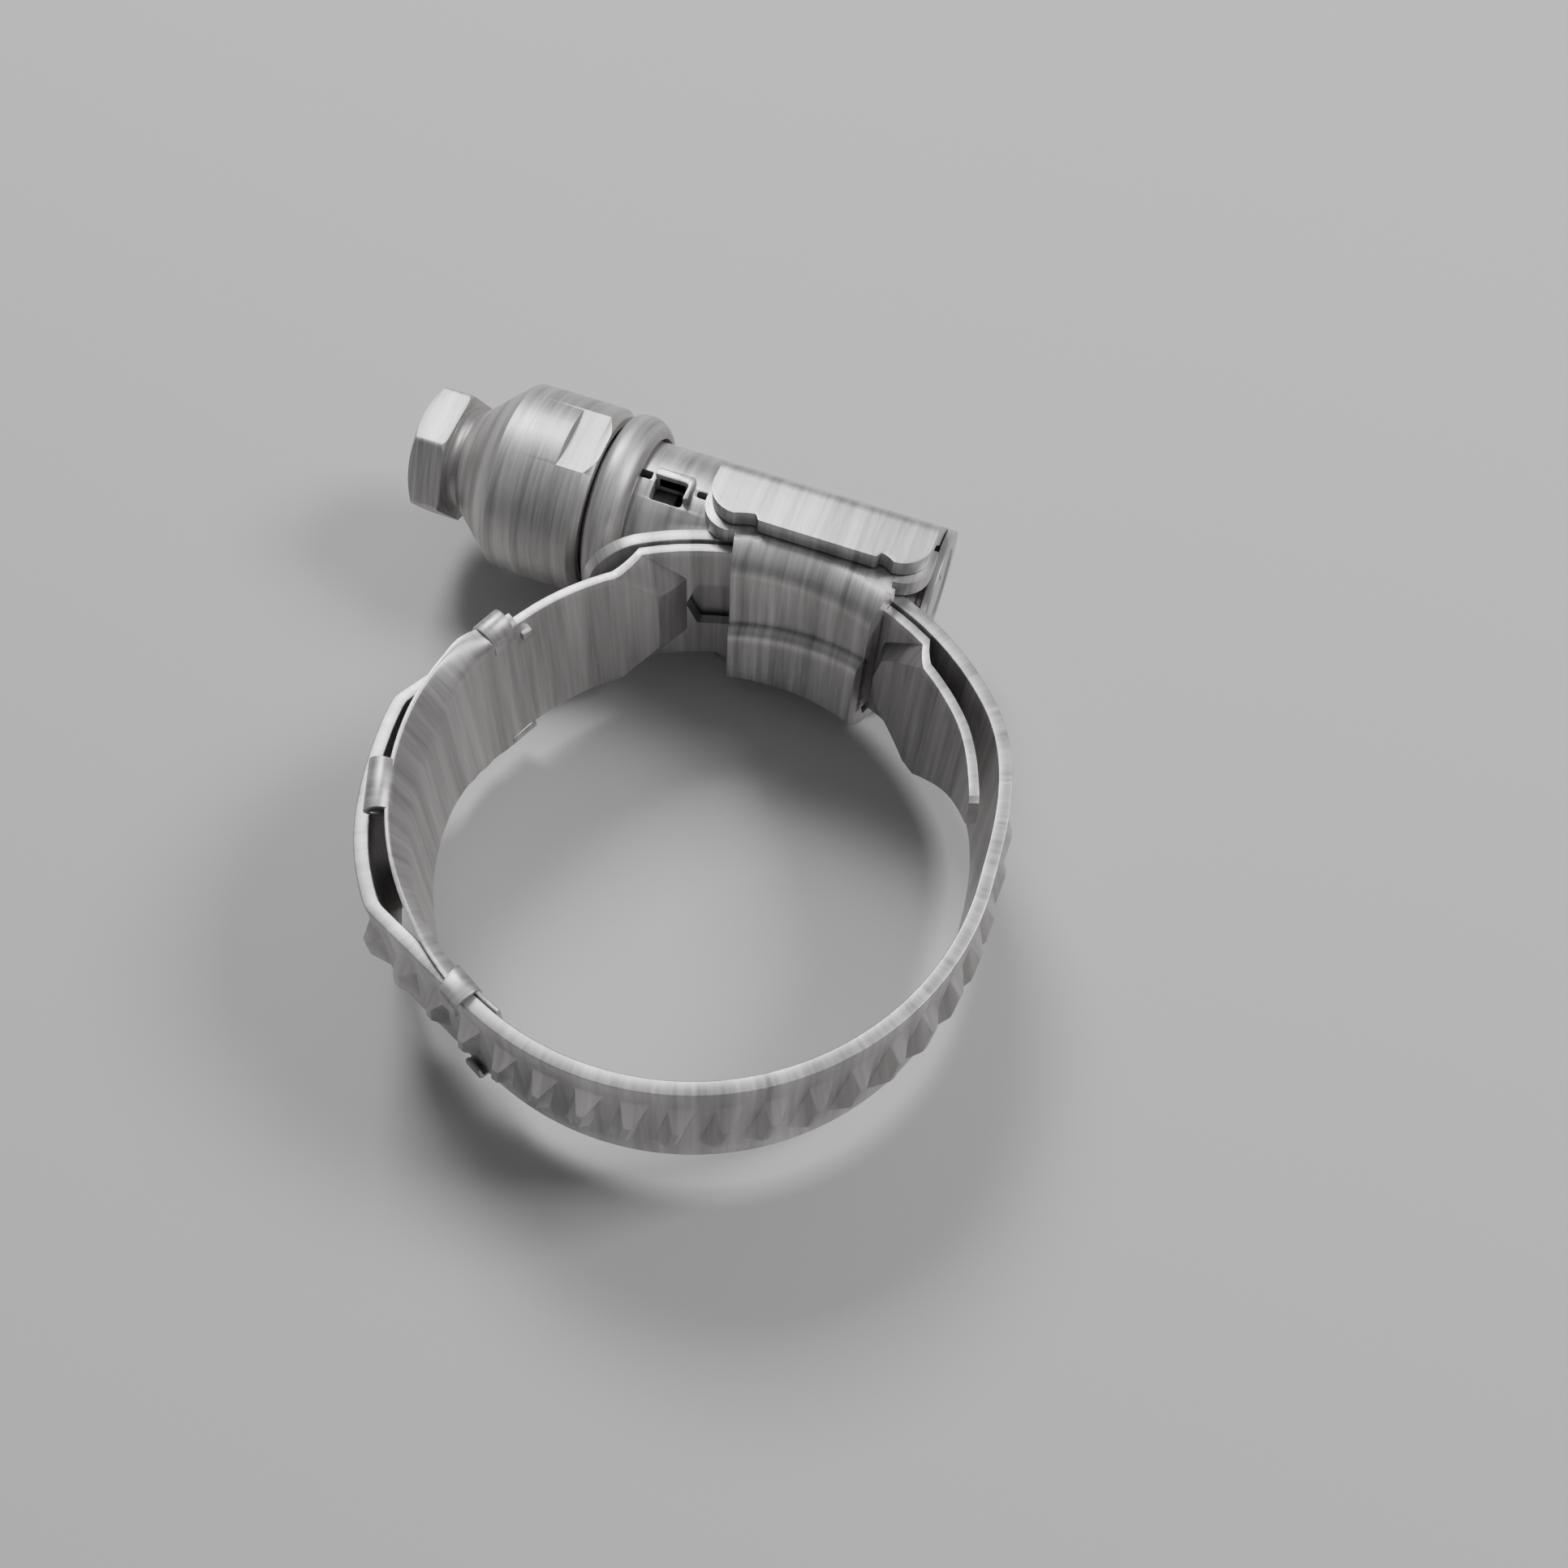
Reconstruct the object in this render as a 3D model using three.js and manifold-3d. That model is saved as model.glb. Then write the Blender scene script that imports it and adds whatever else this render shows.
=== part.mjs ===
// Worm-drive hose clamp with a disc-spring tensioner, in millimetres.
// The clamp lies flat: the ring's axis is Z, the screw's axis runs along X above the ring,
// and Y points from the ring's centre to the screw. Angles round the ring start at +Y and grow
// towards -X. The finished assembly is moved so that the origin is the bottom centre of its box.
import * as THREE from "three";
import { mergeVertices } from "three/addons/utils/BufferGeometryUtils.js";
import Module from "manifold-3d";

const wasm = await Module();
wasm.setup();

// ---- driving dimensions ------------------------------------------------------------------
const GAP = 0.3; // clearance between neighbouring pieces
const BAND_HALF_WIDTH = 6.87;
const BAND_THICKNESS = 1.0;
const STRAP_THICKNESS = 0.75; // the band is rolled thinner at its fixed end
const RING_RADIUS = 20.8; // outer surface of the band at the bottom of the ring
const HOSE_RADIUS = 19.0; // what the ring closes on
const HOSE_DROP = 0.8; // how far the hose's centre sits below the ring's centre
const SCREW_HEIGHT = 25.63; // from the ring's centre to the screw's axis
const TAIL_RADIUS = 22.45; // outer surface of the band inside the housing and on its tail
const BOW_TOP_RADIUS = 22.45; // outer surface where the band's bow begins
const STRAP_RADIUS = 21.15; // outer surface of the fixed end under the housing
const LOW_STRAP_RADIUS = 19.6; // outer surface of the fixed end outside its joggles
const TONGUE_RADIUS = 19.35; // outer surface of the fixed end's tip
const BOW_RADIUS = 22.95; // outer surface where the bow is widest
const LEAD = 3.13; // travel of the band for one turn of the screw

const SHEET = 1.4; // housing and saddle sheet
const TUBE_RADIUS = 5.93;
const TUBE_BORE = 4.6;
const WING_FACE = 10.1; // outer face of the housing's wings, from the middle plane
const HOUSING_MIDDLE = 1.05; // x of the middle of the wings
const SADDLE_MIDDLE = 1.45;
const SADDLE_HALF_LENGTH = 5.95;

const HEX_RADIUS = 5.5; // across corners, halved: a 9.53 mm wrench size
const HEX_FRONT = -32.3;
const HEX_BACK = -29.4;
const CUP_LEFT = -28.4;
const CUP_RIGHT = -17.0;
const CUP_RADIUS = 7.56;
const COLLAR_LEFT = -16.55;
const COLLAR_RIGHT = -13.3;
const TUBE_LEFT = -14.4;
const TUBE_RIGHT = 10.2;
const DISC_COUNT = 8;
const SHANK_RADIUS = 3.0;

// Where the band, one strip on the real clamp, is divided so that it can flex.
const UPPER_FLEX = 60;
const LOWER_FLEX = 180;
const RIGHT_FLEX = 300;
const TONGUE_END = -72;
const TAIL_TIP = 403;
const TAIL_CLEAR = 40; // degrees past the last tooth that keep the tail's end uncut
const LUG_ANGLE = 61.9;

// ---- materials ---------------------------------------------------------------------------
const steel = (color, roughness) =>
  new THREE.MeshStandardMaterial({ color, roughness, metalness: 1 });
const SATIN = steel(0xc2c4c6, 0.38);
const BRUSHED = steel(0xb4b6b8, 0.42);
const SPRING = steel(0x9a9c9f, 0.35);

// ---- solids ------------------------------------------------------------------------------
function manifoldOf(positions, triangles) {
  const make = (triVerts) =>
    new wasm.Manifold(new wasm.Mesh({ numProp: 3, vertProperties: positions, triVerts }));
  const made = make(new Uint32Array(triangles));
  if (made.volume() >= 0) return made;
  const turned = [];
  for (let i = 0; i < triangles.length; i += 3)
    turned.push(triangles[i], triangles[i + 2], triangles[i + 1]);
  return make(new Uint32Array(turned));
}

// A closed three.js geometry as a solid, with its faces turned outwards.
function solid(geometry) {
  const bare = geometry.index ? geometry.toNonIndexed() : geometry.clone();
  for (const name of Object.keys(bare.attributes))
    if (name !== "position") bare.deleteAttribute(name);
  const merged = mergeVertices(bare, 1e-4);
  const index = merged.index.array;
  const triangles = [];
  for (let i = 0; i < index.length; i += 3) {
    const [a, b, c] = [index[i], index[i + 1], index[i + 2]];
    if (a !== b && b !== c && c !== a) triangles.push(a, b, c);
  }
  return manifoldOf(new Float32Array(merged.attributes.position.array), triangles);
}

function geometryOf(body) {
  const mesh = body.getMesh();
  const positions = new Float32Array(mesh.numVert * 3);
  for (let i = 0; i < mesh.numVert; i++)
    for (let k = 0; k < 3; k++) positions[3 * i + k] = mesh.vertProperties[mesh.numProp * i + k];
  const geometry = new THREE.BufferGeometry();
  geometry.setAttribute("position", new THREE.BufferAttribute(positions, 3));
  geometry.setIndex(new THREE.BufferAttribute(new Uint32Array(mesh.triVerts), 1));
  geometry.computeVertexNormals();
  return geometry;
}

const basis = (x, y, z) =>
  new THREE.Matrix4().makeBasis(
    new THREE.Vector3(...x),
    new THREE.Vector3(...y),
    new THREE.Vector3(...z),
  );
const ALONG_X = basis([0, 1, 0], [0, 0, 1], [1, 0, 0]); // a shape drawn in (y, z), pushed along x
const ABOUT_X = basis([0, 0, 1], [1, 0, 0], [0, 1, 0]); // a profile turned about the x axis

// A turned body about the screw's axis. The profile holds [x, radius] pairs.
function turned(profile, segments = 36) {
  const points = profile.map(([x, radius]) => new THREE.Vector2(radius, x));
  const lathe = new THREE.LatheGeometry(points, segments).applyMatrix4(ABOUT_X);
  return solid(lathe.translate(0, SCREW_HEIGHT, 0));
}

// A ring-shaped turned body: the profile is closed on itself.
const turnedRing = (profile, segments) => turned([...profile, profile[0]], segments);

const outline = (points) => new THREE.Shape(points.map(([u, v]) => new THREE.Vector2(u, v)));

// A shape drawn in (y, z) and pushed from x0 to x1.
function alongX(shape, x0, x1, curveSegments = 16) {
  const options = { depth: x1 - x0, bevelEnabled: false, curveSegments };
  return solid(new THREE.ExtrudeGeometry(shape, options).applyMatrix4(ALONG_X).translate(x0, 0, 0));
}

// A shape drawn in (x, y) and pushed from z0 to z1.
function alongZ(shape, z0, z1, curveSegments = 16) {
  const options = { depth: z1 - z0, bevelEnabled: false, curveSegments };
  return solid(new THREE.ExtrudeGeometry(shape, options).translate(0, 0, z0));
}

function box(x0, x1, y0, y1, z0, z1) {
  const geometry = new THREE.BoxGeometry(x1 - x0, y1 - y0, z1 - z0);
  return solid(geometry.translate((x0 + x1) / 2, (y0 + y1) / 2, (z0 + z1) / 2));
}

const radians = THREE.MathUtils.degToRad;
const onRing = (radius, degrees) => [
  -radius * Math.sin(radians(degrees)),
  radius * Math.cos(radians(degrees)),
];
const ramp = (value, start, end) => THREE.MathUtils.smoothstep(value, start, end);
const clamp01 = (value) => Math.min(1, Math.max(0, value));

// Angles from start to end, about step apart, with both ends kept.
function spread(start, end, step) {
  const count = Math.max(1, Math.round((end - start) / step));
  return Array.from({ length: count + 1 }, (_, i) => start + ((end - start) * i) / count);
}

// A strip bent round the ring. angles grow; across holds fractions from 0 to 1 of its width;
// sides(angle) gives its two z edges; outer and inner(angle, z) give the radii of its two faces.
function strip({ angles, across, sides, outer, inner }) {
  const rows = across.length;
  const positions = [];
  for (const radiusOf of [outer, inner])
    for (const angle of angles)
      for (const fraction of across) {
        const [low, high] = sides(angle);
        const z = low + (high - low) * fraction;
        positions.push(...onRing(radiusOf(angle, z), angle), z);
      }
  const layer = angles.length * rows;
  const triangles = [];
  const quad = (a, b, c, d) => triangles.push(a, b, c, a, c, d);
  for (let i = 0; i + 1 < angles.length; i++) {
    const here = i * rows;
    const next = here + rows;
    for (let j = 0; j + 1 < rows; j++) {
      quad(here + j, next + j, next + j + 1, here + j + 1);
      quad(layer + here + j, layer + here + j + 1, layer + next + j + 1, layer + next + j);
    }
    const top = rows - 1;
    quad(here, layer + here, layer + next, next);
    quad(here + top, next + top, layer + next + top, layer + here + top);
  }
  const last = (angles.length - 1) * rows;
  for (let j = 0; j + 1 < rows; j++) {
    quad(j, j + 1, layer + j + 1, layer + j);
    quad(last + j, layer + last + j, layer + last + j + 1, last + j + 1);
  }
  return manifoldOf(new Float32Array(positions), triangles);
}

// ---- the band ----------------------------------------------------------------------------
// Outer surface of the long part of the band, from the upper flex line round to the tail. The bow
// leaves the ring along one straight stretch and comes back to it along another.
const BOW_LEAVES = 60.6;
const BOW_RETURNS = 156;

function bandOuter(angle) {
  if (angle > 230)
    return THREE.MathUtils.lerp(RING_RADIUS, TAIL_RADIUS, ramp(angle, 272, 310));
  const straight = (radius, from) => radius / Math.cos(radians(angle - from));
  const up = angle < BOW_LEAVES ? LOW_STRAP_RADIUS : straight(LOW_STRAP_RADIUS, BOW_LEAVES);
  const down = angle > BOW_RETURNS ? RING_RADIUS : straight(RING_RADIUS, BOW_RETURNS);
  const bow = THREE.MathUtils.lerp(BOW_TOP_RADIUS, BOW_RADIUS, ramp(angle, 97, 124));
  if (angle < 75) return up;
  return angle < 120 ? softMin(up, bow, 0.12) : softMin(down, bow, 0.12);
}

// The smaller of two values, with the corner between them rounded by about that much.
function softMin(a, b, rounding) {
  return (a + b - Math.hypot(a - b, rounding)) / 2;
}

const bandThickness = (angle) =>
  THREE.MathUtils.lerp(STRAP_THICKNESS, BAND_THICKNESS, ramp(angle, 64, 88));

const fullWidth = () => [-BAND_HALF_WIDTH, BAND_HALF_WIDTH];

function bandStrip(start, end, step = 4) {
  return strip({
    angles: spread(start, end, step),
    across: [0, 1],
    sides: fullWidth,
    outer: bandOuter,
    inner: (angle) => bandOuter(angle) - bandThickness(angle),
  });
}

// The teeth are spaced by the screw's lead along the band. One sits under the middle of the screw.
const TOOTH_PITCH_RADIUS = 22.9;
const TOOTH_SPACING = (LEAD * TAIL_RADIUS) / TOOTH_PITCH_RADIUS;
const LAST_TOOTH = 378;
const FIRST_TOOTH = 125;

function toothAngles() {
  const step = 0.05;
  const found = [];
  for (const way of [1, -1]) {
    let travelled = 0;
    let angle = 360;
    while (angle > FIRST_TOOTH && angle < LAST_TOOTH) {
      if (way > 0 ? travelled >= 0 : travelled >= TOOTH_SPACING) {
        found.push(angle);
        travelled -= TOOTH_SPACING;
      }
      angle += way * step;
      travelled += bandOuter(angle) * radians(step);
    }
  }
  return found.sort((a, b) => a - b);
}

// One tooth: a hipped ridge across the band, slanted by the screw's lead.
const TOOTH = { base: 1.1, crest: 0.25, length: 4.3, crestLength: 1.5, height: 0.95, sunk: 0.3 };
const WORM_RADIUS = 2.98;
const SLANT = LEAD / (2 * Math.PI * WORM_RADIUS);

function tooth(angle) {
  const radius = bandOuter(angle);
  const positions = [];
  for (const [half, length, height] of [
    [TOOTH.base, TOOTH.length, -TOOTH.sunk],
    [TOOTH.crest, TOOTH.crestLength, TOOTH.height],
  ])
    for (const [side, way] of [[-1, -1], [1, -1], [1, 1], [-1, 1]]) {
      const z = way * length;
      const along = side * half + SLANT * z;
      const turn = angle + THREE.MathUtils.radToDeg(along / radius);
      positions.push(...onRing(radius + height, turn), z);
    }
  const triangles = [0, 1, 2, 0, 2, 3, 4, 6, 5, 4, 7, 6];
  for (let i = 0; i < 4; i++) {
    const next = (i + 1) % 4;
    triangles.push(i, i + 4, next + 4, i, next + 4, next);
  }
  return manifoldOf(new Float32Array(positions), triangles);
}

// A block that starts at an angle round the ring and fills the room past it, one way or the other.
function blockPast(angle, way) {
  const block = new THREE.BoxGeometry(4, 8, 20).translate(-2 * way, RING_RADIUS, 0);
  return solid(block.rotateZ(radians(angle)));
}

// Adds the teeth between two flex lines. A tooth on a flex line is cut off at the gap.
function addTeeth(body, start, end) {
  return toothAngles()
    .filter((angle) => angle > start && angle < end)
    .reduce((sum, angle) => sum.add(tooth(angle)), body)
    .subtract(blockPast(start + flexGap, -1))
    .subtract(blockPast(end - flexGap, 1));
}

const flexGap = THREE.MathUtils.radToDeg(GAP / 2 / RING_RADIUS);

const bandThreaded = () =>
  addTeeth(bandStrip(LOWER_FLEX + flexGap, RIGHT_FLEX - flexGap), LOWER_FLEX, RIGHT_FLEX);

function bandBow() {
  const body = addTeeth(bandStrip(UPPER_FLEX + flexGap, LOWER_FLEX - flexGap), UPPER_FLEX, LOWER_FLEX);
  // A small lug pressed inwards stops the liner from creeping towards the housing.
  const [lugX, lugY] = onRing(LOW_STRAP_RADIUS - STRAP_THICKNESS - 0.2, LUG_ANGLE);
  const lug = new THREE.BoxGeometry(0.8, 0.9, 1.3);
  lug.rotateZ(radians(LUG_ANGLE)).translate(lugX, lugY, BAND_HALF_WIDTH - 1.2);
  return body.add(solid(lug));
}

// The free tail: through the housing, ending in a rounded tip.
function bandTail() {
  const round = 12; // degrees of taper at the tip
  const halfWidthAt = (angle) => {
    const u = clamp01((angle - (TAIL_TIP - round)) / round);
    return BAND_HALF_WIDTH * (0.45 + 0.55 * Math.sqrt(1 - u * u));
  };
  const angles = [
    ...spread(RIGHT_FLEX + flexGap, TAIL_TIP - round, 4),
    ...spread(TAIL_TIP - round, TAIL_TIP, 1.5).slice(1),
  ];
  const plain = strip({
    angles,
    across: [0, 1],
    sides: (angle) => [-halfWidthAt(angle), halfWidthAt(angle)],
    outer: bandOuter,
    inner: (angle) => bandOuter(angle) - BAND_THICKNESS,
  });
  return addTeeth(plain, RIGHT_FLEX, LAST_TOOTH + TAIL_CLEAR);
}

const JOGGLE_CLEAR = 22.6; // the joggles keep clear of the saddle up to this angle

// The fixed end: a raised strap under the housing between two arrow-shaped joggles, a low strap
// to the upper flex line on the left and a tapered tongue on the right.
function fixedOuter(angle, z) {
  const towardsEdge = Math.abs(z) / BAND_HALF_WIDTH;
  const [middle, edge, middleRun, edgeRun] = angle > 0 ? [13.1, 32, 6.6, 6.9] : [14.3, 32.3, 1, 4.8];
  const start = Math.max(JOGGLE_CLEAR, THREE.MathUtils.lerp(middle, edge, towardsEdge));
  const run = THREE.MathUtils.lerp(middleRun, edgeRun, towardsEdge);
  const tongue = THREE.MathUtils.lerp(LOW_STRAP_RADIUS + 0.3, TONGUE_RADIUS, ramp(-angle, 50, 72));
  const low = angle > 0 ? LOW_STRAP_RADIUS : tongue;
  const joggled = THREE.MathUtils.lerp(
    STRAP_RADIUS,
    low,
    clamp01((Math.abs(angle) - start) / run),
  );
  return angle > 50 ? bandOuter(angle) : joggled;
}

function bandFixedEnd() {
  const cutStart = -41; // the slanted cut of the far corner
  const roundStart = -68; // the rounded near corner
  const tongueSides = (angle) => {
    const cut = clamp01((cutStart - angle) / (cutStart - TONGUE_END));
    const round = clamp01((roundStart - angle) / (roundStart - TONGUE_END));
    return [
      THREE.MathUtils.lerp(-BAND_HALF_WIDTH, 4.5, cut),
      BAND_HALF_WIDTH - 1.2 * (1 - Math.sqrt(1 - round * round)),
    ];
  };
  const across = spread(0, 1, 1 / 8);
  const body = strip({
    angles: [
      ...spread(TONGUE_END, roundStart, 1.3),
      ...spread(roundStart, cutStart, 4).slice(1),
      ...spread(cutStart, -18, 2.2).slice(1),
      ...spread(-18, 16, 5.7).slice(1),
      ...spread(16, 40, 2.2).slice(1),
      ...spread(40, UPPER_FLEX - flexGap, 4).slice(1),
    ],
    across,
    sides: tongueSides,
    outer: fixedOuter,
    inner: (angle, z) => fixedOuter(angle, z) - STRAP_THICKNESS,
  });
  const hole = outline([[-7.9, 0], [-7.1, 2.6], [-4.2, 2.6], [-4.2, -2.6], [-7.1, -2.6]]);
  const drop = new THREE.ExtrudeGeometry(hole, { depth: 6, bevelEnabled: false });
  drop.applyMatrix4(basis([1, 0, 0], [0, 0, 1], [0, -1, 0])).translate(0, STRAP_RADIUS + 2, 0);
  return body.subtract(solid(drop));
}

// ---- the liner ---------------------------------------------------------------------------
const LINER_START = 63.3;
const LINER_END = 161;
const linerThickness = (angle) => 0.3 + 0.25 * ramp(angle, 62, 74) * (1 - ramp(angle, 140, 156));
const hoseSurface = (angle) => {
  const c = Math.cos(radians(angle));
  return -HOSE_DROP * c + Math.sqrt(HOSE_RADIUS ** 2 - HOSE_DROP ** 2 * (1 - c * c));
};
const linerHalfWidth = (angle) =>
  7.55 + 0.5 * ramp(angle, 67, 76) + 0.25 * ramp(angle, 76, 95) - 0.95 * ramp(angle, 124, 144);

// The liner follows the hose, and keeps clear of the band where the two come together.
const linerInner = (angle) =>
  Math.min(
    hoseSurface(angle),
    bandOuter(angle) - bandThickness(angle) - 0.15 - linerThickness(angle),
  );

// How far the liner's flared edge has turned away from the hose at a given width.
function linerFlare(angle, z) {
  const foot = 6.95 - 1.25 * ramp(angle, 74, 95) * (1 - ramp(angle, 116, 136));
  const u = clamp01((Math.abs(z) - foot) / (linerHalfWidth(angle) - foot));
  const rise = (1.8 - 0.55 * ramp(angle, 76, 110)) * (1 - 0.9 * ramp(angle, 153, 157));
  return rise * (1 - Math.sqrt(1 - 0.98 * u * u));
}

// One hook: a bent tab [radius, z] outline pushed along the ring's tangent at an angle.
function hook(profile, angle, length) {
  const shape = outline(profile.map(([radius, z]) => [radius, z]));
  const geometry = new THREE.ExtrudeGeometry(shape, { depth: length, bevelEnabled: false });
  geometry.translate(0, 0, -length / 2);
  // local x runs outwards, local y along the ring's axis and local z along the tangent
  const [outX, outY] = onRing(1, angle);
  geometry.applyMatrix4(basis([outX, outY, 0], [0, 0, 1], [outY, -outX, 0]));
  return solid(geometry);
}

const mirrorZ = (profile) => profile.map(([radius, z]) => [radius, -z]).reverse();

// The hook over the strap's edge: up the edge and back over the strap's outer face.
const topHook = [
  [18.5, 6.9], [18.9, 7.5], [19.6, 7.8], [20.3, 7.6], [20.55, 7.05], [20.55, 5.4],
  [20.1, 5.4], [20.1, 6.95], [19.9, 7.2], [19.5, 7.25], [19.0, 6.9],
];
// The open curl half-way down: out towards the bowed band and back.
const middleCurl = [
  [19.9, 7.7], [20.35, 8.35], [21.1, 8.6], [21.75, 8.35], [21.95, 7.65], [21.55, 7.55],
  [21.35, 8.0], [21.0, 8.2], [20.7, 8.0], [20.5, 7.5],
];
// The hook round the threaded band's edge.
const lowHook = [
  [19.2, 6.95], [19.6, 7.4], [20.5, 7.6], [21.3, 7.5], [21.6, 7.1], [21.6, 5.6],
  [21.2, 5.6], [21.15, 6.95], [20.8, 7.15], [20.2, 7.15], [19.75, 7.0],
];

function liner() {
  const inner = (angle, z) => linerInner(angle) + linerFlare(angle, z);
  let body = strip({
    angles: spread(LINER_START, LINER_END, 4),
    across: [0, 0.035, 0.075, 0.13, 0.19, 0.81, 0.87, 0.925, 0.965, 1],
    sides: (angle) => [-linerHalfWidth(angle), linerHalfWidth(angle)],
    outer: (angle, z) => inner(angle, z) + linerThickness(angle),
    inner,
  });
  for (const [profile, angle, length] of [
    [topHook, 67.6, 2.3],
    [middleCurl, 109.4, 3.8],
    [lowHook, 152.2, 2.6],
  ])
    for (const shape of [profile, mirrorZ(profile)]) body = body.add(hook(shape, angle, length));
  return body;
}

// ---- the housing -------------------------------------------------------------------------
// Room for the band and its teeth where they pass through the housing.
function bandPassage(extra) {
  const disc = (radius, halfWidth) => {
    const cylinder = new THREE.CylinderGeometry(radius, radius, 2 * halfWidth, 90);
    return solid(cylinder.rotateX(Math.PI / 2));
  };
  return disc(TAIL_RADIUS + extra, 12).add(disc(TAIL_RADIUS + TOOTH.height + 0.35, 5.2));
}

const ROOF_ANGLE = 38; // where the round top of the sheet runs on flat towards the wings

// The bent sheet over the band, seen along the screw: a round top, two flat slopes and two wings.
function archShape() {
  const side = (sign, inward) => {
    const radius = TUBE_RADIUS - inward;
    const wing = WING_FACE - inward;
    const points = [];
    for (const angle of spread(0, ROOF_ANGLE, 8)) {
      const a = radians(angle);
      points.push([SCREW_HEIGHT + radius * Math.cos(a), sign * radius * Math.sin(a)]);
    }
    const a = radians(ROOF_ANGLE);
    const corner = SCREW_HEIGHT + (radius - wing * Math.sin(a)) / Math.cos(a);
    const bend = 0.7;
    const curve = new THREE.QuadraticBezierCurve(
      new THREE.Vector2(corner + bend * Math.sin(a), wing - bend * Math.cos(a)),
      new THREE.Vector2(corner, wing),
      new THREE.Vector2(corner - bend, wing),
    );
    for (const point of curve.getPoints(4)) points.push([point.x, sign * point.y]);
    points.push([SCREW_HEIGHT - 7, sign * wing]);
    return points;
  };
  const outside = [...side(-1, 0).reverse(), ...side(1, 0).slice(1)];
  const inside = [...side(1, SHEET).reverse(), ...side(-1, SHEET).slice(1)];
  return outline([...outside, ...inside]);
}

// The wings' outline from the side, about its own middle: round lower corners, with a shallow
// relief on each side of the straight stretch. lower is the straight stretch's height.
function wingOutline(halfLength, lower, upper) {
  const corner = 2.3;
  const [reliefLeft, reliefRight] = [-4.15, 4.75];
  const shape = new THREE.Shape();
  shape.moveTo(-halfLength, upper);
  shape.lineTo(-halfLength, lower + corner);
  shape.absarc(-halfLength + corner, lower + corner, corner, Math.PI, 1.5 * Math.PI, false);
  shape.lineTo(reliefLeft - 0.3, lower + 0.45);
  shape.lineTo(reliefLeft, lower);
  shape.lineTo(reliefRight, lower);
  shape.lineTo(reliefRight + 0.3, lower + 0.45);
  shape.lineTo(halfLength - corner, lower);
  shape.absarc(halfLength - corner, lower + corner, corner, 1.5 * Math.PI, 2 * Math.PI, false);
  shape.lineTo(halfLength, upper);
  return shape;
}

const WING_HALF_LENGTH = 8.4;
const WING_BOTTOM = 21.1;

function housing() {
  const tubeShape = new THREE.Shape();
  tubeShape.absarc(SCREW_HEIGHT, 0, TUBE_RADIUS, 0, 2 * Math.PI, false);
  const bore = new THREE.Path();
  bore.absarc(SCREW_HEIGHT, 0, TUBE_BORE, 0, 2 * Math.PI, true);
  tubeShape.holes.push(bore);
  let tube = alongX(tubeShape, TUBE_LEFT, TUBE_RIGHT, 24);

  // The end wall holds the screw's tip in a hole.
  tube = tube.add(
    turnedRing([[9.3, 2.35], [9.3, 5.2], [TUBE_RIGHT - 0.2, 5.2], [TUBE_RIGHT - 0.2, 2.35]]),
  );

  const left = HOUSING_MIDDLE - WING_HALF_LENGTH;
  const right = HOUSING_MIDDLE + WING_HALF_LENGTH;
  // Under the arch the tube is cut away, apart from its round top.
  const cutTop = SCREW_HEIGHT + TUBE_RADIUS * Math.cos(radians(ROOF_ANGLE));
  tube = tube.subtract(box(left - 0.35, right - 0.45, 0, cutTop, -12, 12));
  const arch = alongX(archShape(), left, right).intersect(
    alongZ(wingOutline(WING_HALF_LENGTH, WING_BOTTOM, 34), -12, 12).translate([
      HOUSING_MIDDLE, 0, 0,
    ]),
  );
  tube = tube.subtract(bandPassage(0.35));
  let body = tube.add(arch);
  // A slit between the right end of each wing and the tube's end.
  body = body.subtract(box(right - 0.45, right - 0.1, 15, SCREW_HEIGHT + 2.2, -6.6, 6.6));

  for (const side of [-1, 1]) body = lancedTab(body, side);
  return body;
}

// A window, a square hood pressed out over an opening, and a notch beside the wing, all on one
// side of the housing's tube.
function lancedTab(body, side) {
  const zs = (z0, z1) => (side > 0 ? [z0, z1] : [-z1, -z0]);
  const hoodTop = SCREW_HEIGHT;
  const hoodBottom = SCREW_HEIGHT - 2.28;
  const roof = 0.5;
  const window = box(TUBE_LEFT - 1, -12.95, hoodTop - 0.83, hoodTop - 0.1, ...zs(3.5, 7));
  const notch = box(-9.2, -7, hoodTop - 1.13, hoodTop - 0.53, ...zs(3.5, 7));
  const hood = box(-12.9, -9.65, hoodBottom, hoodTop, ...zs(5.0, 6.7));
  const opening = box(-12.65, -10.0, hoodBottom - 0.5, hoodTop - roof, ...zs(3, 7.5));
  return body.subtract(window).subtract(notch).add(hood).subtract(opening);
}

// ---- the saddle --------------------------------------------------------------------------
const SADDLE_WALL = WING_FACE - SHEET - 0.15; // outer face of the saddle's walls
const SADDLE_FLOOR = STRAP_RADIUS - STRAP_THICKNESS - 0.4; // its floor lies against the strap
const FLAP_SHEET = 1.3;
const FLAP_STEP = 0.95; // how far the far flap stands inwards from the near one
const NEAR_BEND = 2.3;
const FAR_BEND = 3.4;

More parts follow.
